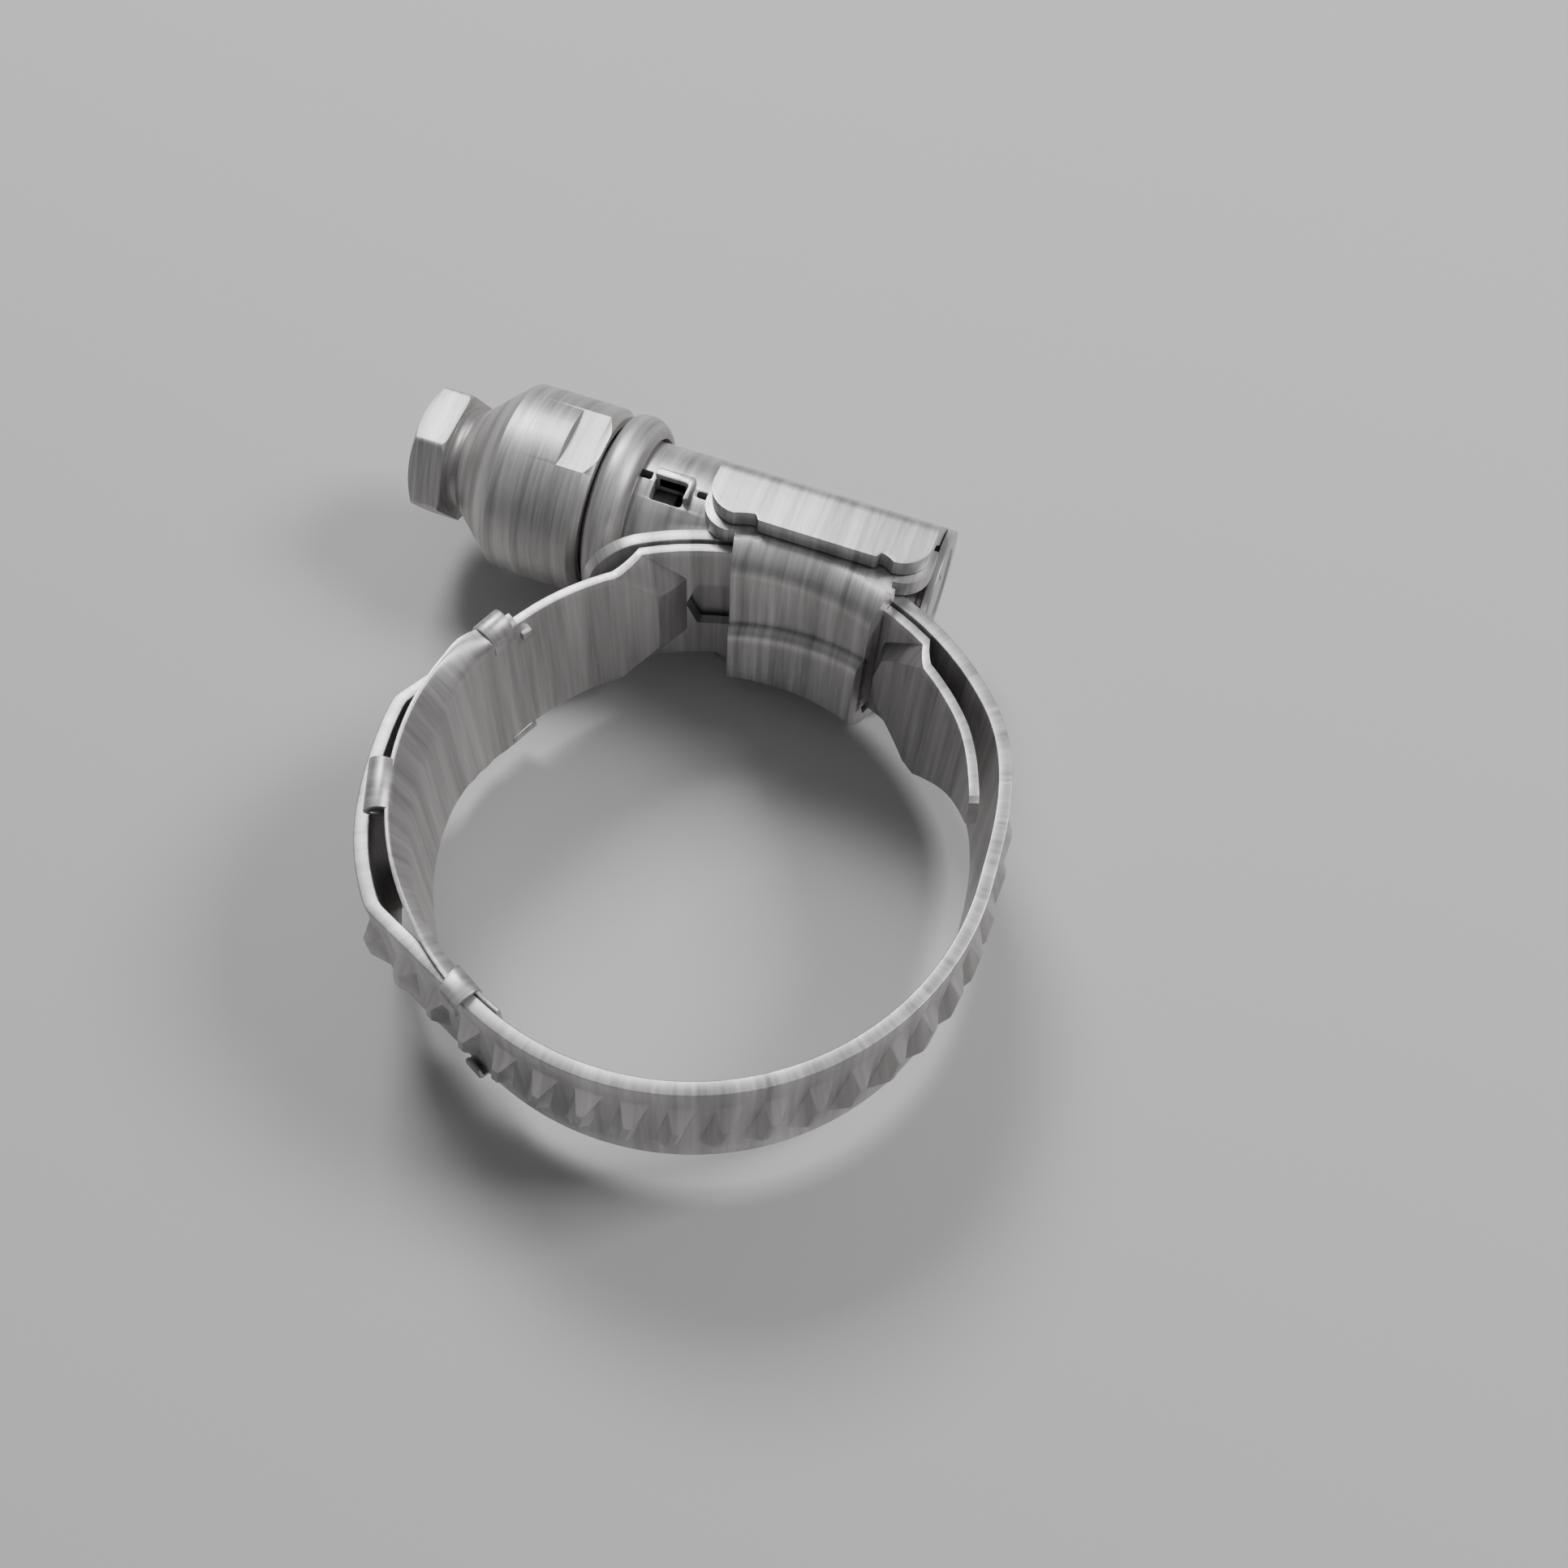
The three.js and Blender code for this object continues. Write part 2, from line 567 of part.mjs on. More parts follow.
function saddle() {
  const wallSheet = SADDLE_WALL - BAND_HALF_WIDTH - 0.18;
  const wallTop = SCREW_HEIGHT - 1.4;
  const lobes = alongZ(
    wingOutline(WING_HALF_LENGTH + 0.35, WING_BOTTOM - 0.55, wallTop),
    SADDLE_WALL - wallSheet,
    SADDLE_WALL,
  ).translate([HOUSING_MIDDLE, 0, 0]);
  const left = SADDLE_MIDDLE - SADDLE_HALF_LENGTH;
  const right = SADDLE_MIDDLE + SADDLE_HALF_LENGTH;
  const angleAt = (x, radius) => -THREE.MathUtils.radToDeg(Math.asin(x / radius));
  const angles = spread(angleAt(right, SADDLE_FLOOR), angleAt(left, SADDLE_FLOOR), 4.2);
  // The floor's corner is rounded where it turns up into each wall.
  const rounded = (z) => {
    const bend = z > 0 ? NEAR_BEND : FAR_BEND;
    const u = clamp01((Math.abs(z) - (SADDLE_WALL - bend)) / bend);
    return bend * (1 - Math.sqrt(1 - 0.995 * u * u));
  };
  const across = [0, 0.01, 0.03, 0.07, 0.13, 0.2, 0.5, 0.87, 0.91, 0.95, 0.98, 1];
  const nearFlap = strip({
    angles,
    across,
    sides: () => [-SADDLE_WALL, SADDLE_WALL],
    outer: (angle, z) => Math.max(SADDLE_FLOOR, SADDLE_FLOOR - FLAP_SHEET + rounded(z) + 0.3),
    inner: (angle, z) => SADDLE_FLOOR - FLAP_SHEET + rounded(z),
  });
  // The far flap overlaps the near one from inside and ends along a slanted line.
  const seam = (angle) => 0.9 - 0.06 * angle;
  const farFlap = strip({
    angles,
    across: [0, 0.02, 0.06, 0.12, 0.2, 0.3, 0.9, 0.94, 0.97, 0.99, 1],
    sides: (angle) => [-SADDLE_WALL, seam(angle)],
    outer: () => SADDLE_FLOOR - FLAP_SHEET + 0.2,
    inner: (angle, z) => {
      const edge = clamp01((z - (seam(angle) - FLAP_STEP)) / FLAP_STEP);
      const turnUp = z < 0 ? rounded(z) : 0;
      const roundEdge = FLAP_STEP * (1 - Math.sqrt(1 - 0.97 * edge * edge));
      return SADDLE_FLOOR - FLAP_SHEET - FLAP_STEP + Math.max(turnUp, roundEdge);
    },
  });
  // Between the floor's edge and the lobes each wall fills the saddle's length.
  const wallPlate = alongZ(
    outline([[left, 17.2], [right, 17.2], [right, wallTop], [left, wallTop]]),
    SADDLE_WALL - wallSheet,
    SADDLE_WALL,
  );
  // Outside the bend the wall's foot is cut away to the same round.
  const outsideBend = (way) => {
    const floor = SADDLE_FLOOR - FLAP_SHEET;
    const bend = way > 0 ? NEAR_BEND : FAR_BEND;
    const arc = spread(SADDLE_WALL - bend, SADDLE_WALL, bend / 6).map((z) => [
      floor + rounded(way * z), way * z,
    ]);
    const edge = way * (SADDLE_WALL + 0.5);
    const profile = [[floor - 4, arc[0][1]], ...arc, [arc[arc.length - 1][0], edge], [floor - 4, edge]];
    const points = [...profile, profile[0]].map(([radius, z]) => new THREE.Vector2(radius, z));
    return solid(new THREE.LatheGeometry(points, 90).rotateX(Math.PI / 2));
  };
  const wall = wallPlate.add(lobes);
  const farWall = wall.mirror([0, 0, 1]);
  return nearFlap
    .add(wall.subtract(outsideBend(1)))
    .add(farWall.subtract(outsideBend(-1)))
    .add(farFlap);
}

// ---- the screw ---------------------------------------------------------------------------
// Thread ridges: their middle at the bottom of the screw sits between the teeth, a little to
// the left, so that the screw can move with the spring cup.
const RIDGE_OFFSET = LEAD / 2 - 0.15;
const WORM_LEFT = -6.8;
const WORM_RIGHT = 8.6;
const WORM_ROOT = 1.95;

function wormRadius(x, angle) {
  // angle is measured from +Y towards +Z; the bottom of the screw is at half a turn
  const along = x - (LEAD * (angle - Math.PI)) / (2 * Math.PI) - RIDGE_OFFSET;
  const away = Math.abs(along / LEAD - Math.round(along / LEAD)) * LEAD;
  const rise = clamp01((0.9 - away) / 0.6);
  const runOut = clamp01((x - WORM_LEFT) / 0.9) * clamp01((WORM_RIGHT - x) / 0.9);
  return WORM_ROOT + (WORM_RADIUS - WORM_ROOT) * rise * runOut;
}

function worm() {
  const around = 16;
  const stations = spread(WORM_LEFT - 0.6, WORM_RIGHT + 0.6, 0.52);
  const positions = [];
  for (const x of stations)
    for (let j = 0; j < around; j++) {
      const angle = (2 * Math.PI * j) / around;
      const inside = x > WORM_LEFT && x < WORM_RIGHT;
      const radius = inside ? wormRadius(x, angle) : WORM_ROOT;
      positions.push(x, SCREW_HEIGHT + radius * Math.cos(angle), radius * Math.sin(angle));
    }
  const centres = positions.length / 3;
  positions.push(stations[0], SCREW_HEIGHT, 0, stations[stations.length - 1], SCREW_HEIGHT, 0);
  const triangles = [];
  for (let i = 0; i + 1 < stations.length; i++)
    for (let j = 0; j < around; j++) {
      const a = i * around + j;
      const b = i * around + ((j + 1) % around);
      triangles.push(a, b, b + around, a, b + around, a + around);
    }
  const last = (stations.length - 1) * around;
  for (let j = 0; j < around; j++) {
    const next = (j + 1) % around;
    triangles.push(centres, next, j, centres + 1, last + j, last + next);
  }
  return manifoldOf(new Float32Array(positions), triangles);
}

function hexHead() {
  const corners = Array.from({ length: 6 }, (_, i) => {
    const angle = (i * Math.PI) / 3;
    return [SCREW_HEIGHT + HEX_RADIUS * Math.cos(angle), HEX_RADIUS * Math.sin(angle)];
  });
  const prism = alongX(outline(corners), HEX_FRONT - 1, HEX_BACK);
  const domed = turned([
    [HEX_FRONT, 0], [HEX_FRONT, 4.3], [HEX_FRONT + 0.1, 4.76], [HEX_FRONT + 0.65, 5.7],
    [HEX_BACK - 0.4, 5.7], [HEX_BACK, 5.2], [HEX_BACK, 0],
  ]);
  return prism.intersect(domed);
}

function screw() {
  const shank = turned([
    [HEX_BACK - 0.5, 0], [HEX_BACK - 0.5, 4.5], [HEX_BACK, 4.5], [HEX_BACK + 0.15, 4.05],
    [HEX_BACK + 0.45, 3.8], [CUP_LEFT - 0.12, 3.75], [CUP_LEFT - 0.12, SHANK_RADIUS],
    [-7.6, SHANK_RADIUS],
    [-7.2, WORM_ROOT], [-7.2, 0],
  ]);
  const tip = turned([[8.8, 0], [8.8, 2.1], [9.9, 2.1], [10.1, 1.8], [10.1, 0]]);
  return hexHead().add(shank).add(worm()).add(tip);
}

// ---- the spring tensioner ----------------------------------------------------------------
// A cup under the screw's head, with two wrench flats at its open end.
function springCup() {
  const cup = turnedRing(
    [
      [CUP_LEFT, 3.3], [CUP_LEFT, 4.2], [-24.75, 7.45], [-24.5, CUP_RADIUS],
      [-17.65, CUP_RADIUS], [CUP_RIGHT, 7.1], [CUP_RIGHT, 6.45], [-25.0, 6.45], [-25.9, 5.6],
      [-26.4, 3.3],
    ],
    40,
  );
  const flat = CUP_RADIUS * 0.92;
  const side = (z0, z1) => box(-19.85, CUP_RIGHT + 1, SCREW_HEIGHT - 9, SCREW_HEIGHT + 9, z0, z1);
  return cup.subtract(side(flat, 9)).subtract(side(-9, -flat));
}

const springCollar = () =>
  turnedRing(
    [
      [CUP_RIGHT - 0.1, 3.35], [CUP_RIGHT - 0.1, 6.25], [COLLAR_LEFT, 6.25], [COLLAR_LEFT, 7.3],
      [COLLAR_LEFT + 0.35, 7.6], [-14.8, 7.65], [-14.1, 7.4], [-13.6, 6.95],
      [COLLAR_RIGHT, 6.45], [COLLAR_RIGHT, 6.2], [TUBE_LEFT - 0.3, 6.2], [TUBE_LEFT - 0.3, 3.35],
    ],
    40,
  );

const thrustWasher = () =>
  turnedRing([[-25.65, 3.4], [-25.65, 5.3], [-24.95, 5.9], [-24.95, 3.4]], 24);

const shankBushing = () =>
  turnedRing([[-14.2, 3.2], [-14.2, 4.35], [-10.9, 4.35], [-10.9, 3.2]], 24);

// Cupped spring washers, stacked mouth to mouth.
function discSpring(index) {
  const pitch = (CUP_RIGHT - 0.2 + 24.8) / DISC_COUNT;
  const left = -24.8 + index * pitch;
  const thickness = 0.52;
  const rise = 0.28;
  const [inside, outside] = index % 2 ? [rise, 0] : [0, rise];
  return turnedRing(
    [
      [left + inside, 3.3], [left + outside, 6.15],
      [left + outside + thickness, 6.15], [left + inside + thickness, 3.3],
    ],
    24,
  );
}

// ---- assembly ----------------------------------------------------------------------------
const clampAssembly = new THREE.Group();
const part = new THREE.Group();
part.add(clampAssembly);

function place(name, body, material) {
  const mesh = new THREE.Mesh(geometryOf(body), material);
  mesh.name = name;
  clampAssembly.add(mesh);
}

place("band_fixed_end", bandFixedEnd(), BRUSHED);
place("band_bow", bandBow(), BRUSHED);
place("band_threaded", bandThreaded(), BRUSHED);
place("band_tail", bandTail(), BRUSHED);
place("liner", liner(), SATIN);
place("housing", housing(), SATIN);
place("saddle", saddle(), SATIN);
place("screw", screw(), SATIN);
place("spring_cup", springCup(), SATIN);
place("spring_collar", springCollar(), SATIN);
place("thrust_washer", thrustWasher(), SPRING);
place("shank_bushing", shankBushing(), SPRING);
for (let i = 0; i < DISC_COUNT; i++) place(`disc_spring_${i + 1}`, discSpring(i), SPRING);

const bounds = new THREE.Box3().setFromObject(clampAssembly);
const centre = bounds.getCenter(new THREE.Vector3());
clampAssembly.position.set(-centre.x, -centre.y, -bounds.min.z);

export default part;
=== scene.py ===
"""A worm-drive hose clamp with a disc-spring tensioner: fine meshes in brushed steel round the frame.

Lengths are in millimetres until a mesh is made. Shapes are drawn in the clamp's own frame: the ring's centre
is the origin, its axis is Z, the screw runs along X above the ring, and Y points from the ring to the screw.
Angles round the ring start at +Y and grow towards -X.
"""
import math

import bmesh
import bpy
from mathutils import Matrix, Vector


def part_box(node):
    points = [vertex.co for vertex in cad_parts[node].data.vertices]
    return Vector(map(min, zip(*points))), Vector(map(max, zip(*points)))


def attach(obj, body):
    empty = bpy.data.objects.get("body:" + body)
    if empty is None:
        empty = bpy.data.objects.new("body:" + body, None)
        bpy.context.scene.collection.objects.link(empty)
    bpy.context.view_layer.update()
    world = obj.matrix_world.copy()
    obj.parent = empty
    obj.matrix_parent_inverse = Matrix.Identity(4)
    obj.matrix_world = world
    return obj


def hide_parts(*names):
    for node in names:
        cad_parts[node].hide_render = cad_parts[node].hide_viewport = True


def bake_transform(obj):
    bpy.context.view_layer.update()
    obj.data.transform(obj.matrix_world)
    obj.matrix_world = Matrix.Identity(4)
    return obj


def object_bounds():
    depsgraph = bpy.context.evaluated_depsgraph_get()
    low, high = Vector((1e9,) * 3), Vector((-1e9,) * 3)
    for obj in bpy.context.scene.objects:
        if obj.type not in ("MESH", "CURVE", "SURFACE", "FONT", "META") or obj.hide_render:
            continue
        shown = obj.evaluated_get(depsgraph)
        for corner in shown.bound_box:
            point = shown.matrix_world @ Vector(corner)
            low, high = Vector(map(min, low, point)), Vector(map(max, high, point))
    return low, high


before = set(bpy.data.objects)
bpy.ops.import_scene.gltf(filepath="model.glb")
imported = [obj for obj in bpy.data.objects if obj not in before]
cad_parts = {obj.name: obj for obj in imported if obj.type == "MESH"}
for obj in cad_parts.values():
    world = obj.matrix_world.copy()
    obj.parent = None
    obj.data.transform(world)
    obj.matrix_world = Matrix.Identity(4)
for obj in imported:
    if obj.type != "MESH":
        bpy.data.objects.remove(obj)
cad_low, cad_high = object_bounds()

MM = 0.001

# ---- driving dimensions, the same as the CAD model's ---------------------------------------
BAND_HALF_WIDTH = 6.87
BAND_THICKNESS = 1.0
STRAP_THICKNESS = 0.75
RING_RADIUS = 20.8
HOSE_RADIUS = 19.0
HOSE_DROP = 0.8
SCREW_HEIGHT = 25.63
TAIL_RADIUS = 22.45
STRAP_RADIUS = 21.15
LOW_STRAP_RADIUS = 19.6
TONGUE_RADIUS = 19.35
BOW_TOP_RADIUS = 22.45
BOW_RADIUS = 22.95
BOW_LEAVES = 60.6  # where the straight stretch into the bow touches the ring
BOW_RETURNS = 156.0
LEAD = 3.13
SHEET = 1.4
TUBE_RADIUS = 5.93
TUBE_BORE = 4.6
WING_FACE = 10.1
HOUSING_MIDDLE = 1.05
SADDLE_MIDDLE = 1.45
SADDLE_HALF_LENGTH = 5.95
WING_HALF_LENGTH = 8.4
WING_BOTTOM = 21.1
ROOF_ANGLE = 38.0
HEX_RADIUS = 5.5
HEX_FRONT = -32.3
HEX_BACK = -29.4
CUP_LEFT = -28.4
CUP_RIGHT = -17.0
CUP_RADIUS = 7.56
COLLAR_LEFT = -16.55
TUBE_LEFT = -14.4
TUBE_RIGHT = 10.2
DISC_COUNT = 8
SHANK_RADIUS = 3.0
WORM_RADIUS = 2.98
WORM_ROOT = 1.95
WORM_LEFT = -6.8
WORM_RIGHT = 8.6
UPPER_FLEX = 60.0
LOWER_FLEX = 180.0
RIGHT_FLEX = 300.0
FLEX_HALF = 5.0  # degrees on each side of a flex line, in a strip of its own
TONGUE_END = -72.0
TAIL_TIP = 403.0
SLANT = LEAD / (2 * math.pi * WORM_RADIUS)

# The clamp's frame in the row frame: the spring cup's box gives the screw's axis and the cup's left end.
cup_low, cup_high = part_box("spring_cup")
cup_middle = (cup_low + cup_high) / 2 / MM
OFFSET = Vector((cup_low.x / MM - CUP_LEFT, cup_middle.y - SCREW_HEIGHT, cup_middle.z))


# ---- small maths ---------------------------------------------------------------------------
def lerp(a, b, t):
    return a + (b - a) * t


def clamp01(t):
    return min(1.0, max(0.0, t))


def ramp(value, start, end):
    t = clamp01((value - start) / (end - start))
    return t * t * (3 - 2 * t)


def spread(start, end, step):
    count = max(1, round(abs(end - start) / step))
    return [start + (end - start) * i / count for i in range(count + 1)]


def on_ring(radius, degrees, z=0.0):
    a = math.radians(degrees)
    return Vector((-radius * math.sin(a), radius * math.cos(a), z))


def about_screw(x, radius, angle):
    """A point about the screw's axis. The angle is in radians from +Y towards +Z."""
    return Vector((x, SCREW_HEIGHT + radius * math.cos(angle), radius * math.sin(angle)))


def filleted(points, radius, steps=4, closed=True):
    """A 2-D outline with each corner rounded by up to that radius."""
    made = []
    count = len(points)
    for i, point in enumerate(points):
        here = Vector(point)
        if not closed and i in (0, count - 1):
            made.append(tuple(here))
            continue
        before = Vector(points[i - 1]) - here
        after = Vector(points[(i + 1) % count]) - here
        reach = min(radius, before.length * 0.45, after.length * 0.45)
        if reach < 1e-4 or before.angle(after) > math.radians(177):
            made.append(tuple(here))
            continue
        first = here + before.normalized() * reach
        last = here + after.normalized() * reach
        for k in range(steps + 1):
            t = k / steps
            made.append(tuple(first * (1 - t) ** 2 + here * (2 * t * (1 - t)) + last * t * t))
    return made


def smooth_path(points, steps=6):
    """A Catmull-Rom curve through 2-D points."""
    dots = [Vector(p) for p in points]
    dots = [2 * dots[0] - dots[1], *dots, 2 * dots[-1] - dots[-2]]
    made = []
    for i in range(1, len(dots) - 2):
        a, b, c, d = dots[i - 1 : i + 3]
        for k in range(steps):
            t = k / steps
            made.append(
                0.5 * (2 * b + (c - a) * t + (2 * a - 5 * b + 4 * c - d) * t * t
                       + (3 * b - a - 3 * c + d) * t ** 3)
            )
    return [*made, dots[-2]]


# ---- meshes --------------------------------------------------------------------------------
def mesh_object(name, points, faces):
    """A new object from points in millimetres, with its faces turned outwards."""
    mesh = bpy.data.meshes.new(name)
    mesh.from_pydata([(Vector(p) + OFFSET) * MM for p in points], [], faces)
    work = bmesh.new()
    work.from_mesh(mesh)
    bmesh.ops.remove_doubles(work, verts=work.verts, dist=1e-7)
    bmesh.ops.recalc_face_normals(work, faces=work.faces)
    work.to_mesh(mesh)
    work.free()
    made = bpy.data.objects.new(name, mesh)
    bpy.context.scene.collection.objects.link(made)
    return made


def loft(name, loops, closed=False):
    """A tube of quads through equal closed loops of points, capped at both ends unless closed."""
    size = len(loops[0])
    points = [p for loop in loops for p in loop]
    faces = []
    spans = len(loops) if closed else len(loops) - 1
    for i in range(spans):
        here = i * size
        there = ((i + 1) % len(loops)) * size
        for j in range(size):
            k = (j + 1) % size
            faces.append((here + j, here + k, there + k, there + j))
    if not closed:
        faces.append(tuple(range(size)))
        faces.append(tuple(range(len(points) - size, len(points))))
    return mesh_object(name, points, faces)


def grid_shell(name, outer, inner):
    """A sheet between two equal grids of points, closed round its rim."""
    rows, columns = len(outer), len(outer[0])
    points = [p for grid in (outer, inner) for row in grid for p in row]
    layer = rows * columns
    faces = []
    for i in range(rows - 1):
        for j in range(columns - 1):
            a = i * columns + j
            faces.append((a, a + columns, a + columns + 1, a + 1))
            faces.append((layer + a, layer + a + 1, layer + a + columns + 1, layer + a + columns))
    rim = list(range(columns))
    rim += [i * columns + columns - 1 for i in range(1, rows)]
    rim += [(rows - 1) * columns + j for j in range(columns - 2, -1, -1)]
    rim += [i * columns for i in range(rows - 2, 0, -1)]
    for a, b in zip(rim, rim[1:] + rim[:1]):
        faces.append((a, b, layer + b, layer + a))
    return mesh_object(name, points, faces)


def prism(name, outline, place, depths):
    """An outline of 2-D points pushed between two depths; place(u, v, depth) gives a point."""
    return loft(name, [[place(u, v, depth) for u, v in outline] for depth in depths])


def along_z(x, y, z):
    return Vector((x, y, z))


def along_x(y, z, x):
    return Vector((x, y, z))


def box(name, x0, x1, y0, y1, z0, z1):
    return prism(name, [(x0, y0), (x1, y0), (x1, y1), (x0, y1)], along_z, (z0, z1))


def turned(name, profile, segments=96, fillet=0.15):
    """A ring turned about the screw's axis from a closed profile of (x, radius) pairs."""
    outline = filleted(profile, fillet)
    turns = [2 * math.pi * i / segments for i in range(segments)]
    return loft(name, [[about_screw(x, r, a) for x, r in outline] for a in turns], closed=True)


def turned_solid(name, profile, segments=96, fillet=0.15):
    """A solid turned about the screw's axis. The profile runs from the axis to the axis."""
    outline = filleted(profile, fillet, closed=False)
    points = [about_screw(outline[0][0], 0, 0)]
    faces = []
    rings = [p for p in outline if p[1] > 1e-6]
    for x, radius in rings:
        points += [about_screw(x, radius, 2 * math.pi * i / segments) for i in range(segments)]
    points.append(about_screw(outline[-1][0], 0, 0))
    for i in range(segments):
        k = (i + 1) % segments
        faces.append((0, 1 + i, 1 + k))
        for ring in range(len(rings) - 1):
            here = 1 + ring * segments
            faces.append((here + i, here + segments + i, here + segments + k, here + k))
        last = 1 + (len(rings) - 1) * segments
        faces.append((last + i, len(points) - 1, last + k))
    return mesh_object(name, points, faces)


def settle(piece):
    """Turns a piece's modifiers into its own mesh."""
    bpy.context.view_layer.update()
    graph = bpy.context.evaluated_depsgraph_get()
    mesh = bpy.data.meshes.new_from_object(piece.evaluated_get(graph))
    old = piece.data
    piece.modifiers.clear()
    piece.data = mesh
    bpy.data.meshes.remove(old)
    return piece


def combine(piece, other, operation):
    """Joins or cuts a piece with another, which is used up."""
    modifier = piece.modifiers.new("combine", "BOOLEAN")
    modifier.operation = operation
    modifier.solver = "EXACT"
    modifier.object = other
    settle(piece)
    bpy.data.objects.remove(other)
    return piece


def eased(piece, width, angle=35, segments=2):
    """Rounds the sharp edges of a piece."""
    modifier = piece.modifiers.new("edges", "BEVEL")
    modifier.width = width * MM
    modifier.segments = segments
    modifier.limit_method = "ANGLE"
    modifier.angle_limit = math.radians(angle)
    modifier.use_clamp_overlap = True
    modifier.miter_outer = "MITER_ARC"
    return settle(piece)


# ---- materials -----------------------------------------------------------------------------
METALLIC = 0.7
RELIEF_DEPTH = 0.02  # of the brushing, in millimetres


def steel(name, tone, roughness, streak, fine, contrast, bump):
    """Bare stainless steel, brushed along one direction. The mesh's grain attribute says which way.

    streak and fine are the numbers of streaks in a millimetre.
    """
    material = bpy.data.materials.new(name)
    material.use_nodes = True
    nodes = material.node_tree.nodes
    links = material.node_tree.links
    shader = nodes["Principled BSDF"]
    shader.inputs["Metallic"].default_value = METALLIC

    grain = nodes.new("ShaderNodeAttribute")
    grain.attribute_name = "grain"

    def noise(scale, detail, rough=0.55):
        made = nodes.new("ShaderNodeTexNoise")
        made.inputs["Scale"].default_value = scale
        made.inputs["Detail"].default_value = detail
        made.inputs["Roughness"].default_value = rough
        links.new(grain.outputs["Vector"], made.inputs["Vector"])
        return made.outputs["Fac"]

    def between(value, low, high, start=0.3, end=0.7):
        made = nodes.new("ShaderNodeMapRange")
        made.inputs["From Min"].default_value = start
        made.inputs["From Max"].default_value = end
        made.inputs["To Min"].default_value = low
        made.inputs["To Max"].default_value = high
        links.new(value, made.inputs["Value"])
        return made.outputs["Result"]

    def mixed(a, b, share):
        made = nodes.new("ShaderNodeMix")
        made.inputs["Factor"].default_value = share
        links.new(a, made.inputs["A"])
        links.new(b, made.inputs["B"])
        return made.outputs["Result"]

    broad = noise(streak, 2.0)
    thin = noise(fine, 3.0, 0.7)
    hair = noise(fine * 5, 2.0, 0.7)
    streaks = mixed(broad, thin, 0.4)
    color = nodes.new("ShaderNodeValToRGB")
    color.color_ramp.elements[0].position = 0.32
    color.color_ramp.elements[1].position = 0.68
    dark = [c * (1 - contrast) for c in tone]
    light = [min(1.0, c * (1 + contrast)) for c in tone]
    color.color_ramp.elements[0].color = (*dark, 1)
    color.color_ramp.elements[1].color = (*light, 1)
    links.new(streaks, color.inputs["Fac"])
    links.new(color.outputs["Color"], shader.inputs["Base Color"])
    links.new(
        between(mixed(thin, hair, 0.5), roughness - 0.07, roughness + 0.1),
        shader.inputs["Roughness"],
    )
    relief = nodes.new("ShaderNodeBump")
    relief.inputs["Strength"].default_value = bump
    relief.inputs["Distance"].default_value = RELIEF_DEPTH * MM
    links.new(mixed(thin, hair, 0.6), relief.inputs["Height"])
    links.new(relief.outputs["Normal"], shader.inputs["Normal"])
    return material


# name, tone, roughness, broad and fine streaks in a millimetre, contrast, bump
BAND_STEEL = steel("band_steel", (0.47, 0.457, 0.452), 0.37, 0.75, 2.2, 0.36, 0.3)
LINER_STEEL = steel("liner_steel", (0.50, 0.485, 0.48), 0.40, 0.60, 1.9, 0.32, 0.3)
HOUSING_STEEL = steel("housing_steel", (0.50, 0.49, 0.485), 0.38, 0.9, 2.8, 0.42, 0.35)
TURNED_STEEL = steel("turned_steel", (0.46, 0.448, 0.442), 0.44, 1.2, 4.0, 0.42, 0.3)
# This near-black tone is painted shade: it makes the bushing seen through the hood's opening read as a dark,
# shadowed recess.
SPRING_STEEL_PAINTED_SHADE = steel("spring_steel", (0.12, 0.118, 0.118), 0.45, 0.8, 3.5, 0.2, 0.3)

GRAIN_FLOW = 0.035  # how slowly the streaks change along their own direction


def ring_grain(p):
    """Streaks across the band, varying round the ring."""
    flat = Vector((p.x, p.y, 0))
    around = flat.normalized() * RING_RADIUS
    return (around.x, around.y, GRAIN_FLOW * p.z + GRAIN_FLOW * flat.length)


def screw_grain(p):
    """Streaks round the screw's axis or up the housing, varying along X."""
    return (p.x, GRAIN_FLOW * p.y, GRAIN_FLOW * p.z)


# A finish is a material, the record's slot that it belongs to, and the way its streaks run.
BAND = (BAND_STEEL, "band_steel", ring_grain)
LINER = (LINER_STEEL, "liner_steel", ring_grain)
HOUSING = (HOUSING_STEEL, "housing_steel", screw_grain)
SCREW = (TURNED_STEEL, "screw_steel", screw_grain)
CUP = (TURNED_STEEL, "cup_steel", screw_grain)
SPRING_IN_PAINTED_SHADE = (SPRING_STEEL_PAINTED_SHADE, "spring_steel", screw_grain)


def finish_piece(piece, finish, body, node, smooth=35):
    """Gives a piece its finish, puts it in place of a CAD node, and hangs it on its body.

    The body is None for a piece that is hung on no body.
    """
    material, slot, grain = finish
    mesh = piece.data
    attribute = mesh.attributes.new("grain", "FLOAT_VECTOR", "POINT")
    values = []
    for vertex in mesh.vertices:
        values += grain(vertex.co / MM - OFFSET)
    attribute.data.foreach_set("vector", values)
    mesh.materials.clear()
    mesh.materials.append(material)
    mesh.polygons.foreach_set("use_smooth", [True] * len(mesh.polygons))
    mesh.set_sharp_from_angle(angle=math.radians(smooth))
    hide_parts(node)
    if body:
        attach(piece, body)
    return piece


# ---- the band ------------------------------------------------------------------------------
def soft_min(a, b, rounding):
    """The smaller of two values, with the corner between them rounded by about that much."""
    return (a + b - math.hypot(a - b, rounding)) / 2


BOW_CORNER = 0.12  # rounding where the straight stretches meet the bow


def straight(radius, angle):
    """Radius of a straight stretch that leaves a circle, at an angle past the leaving point."""
    return radius / math.cos(math.radians(max(0.0, angle)))


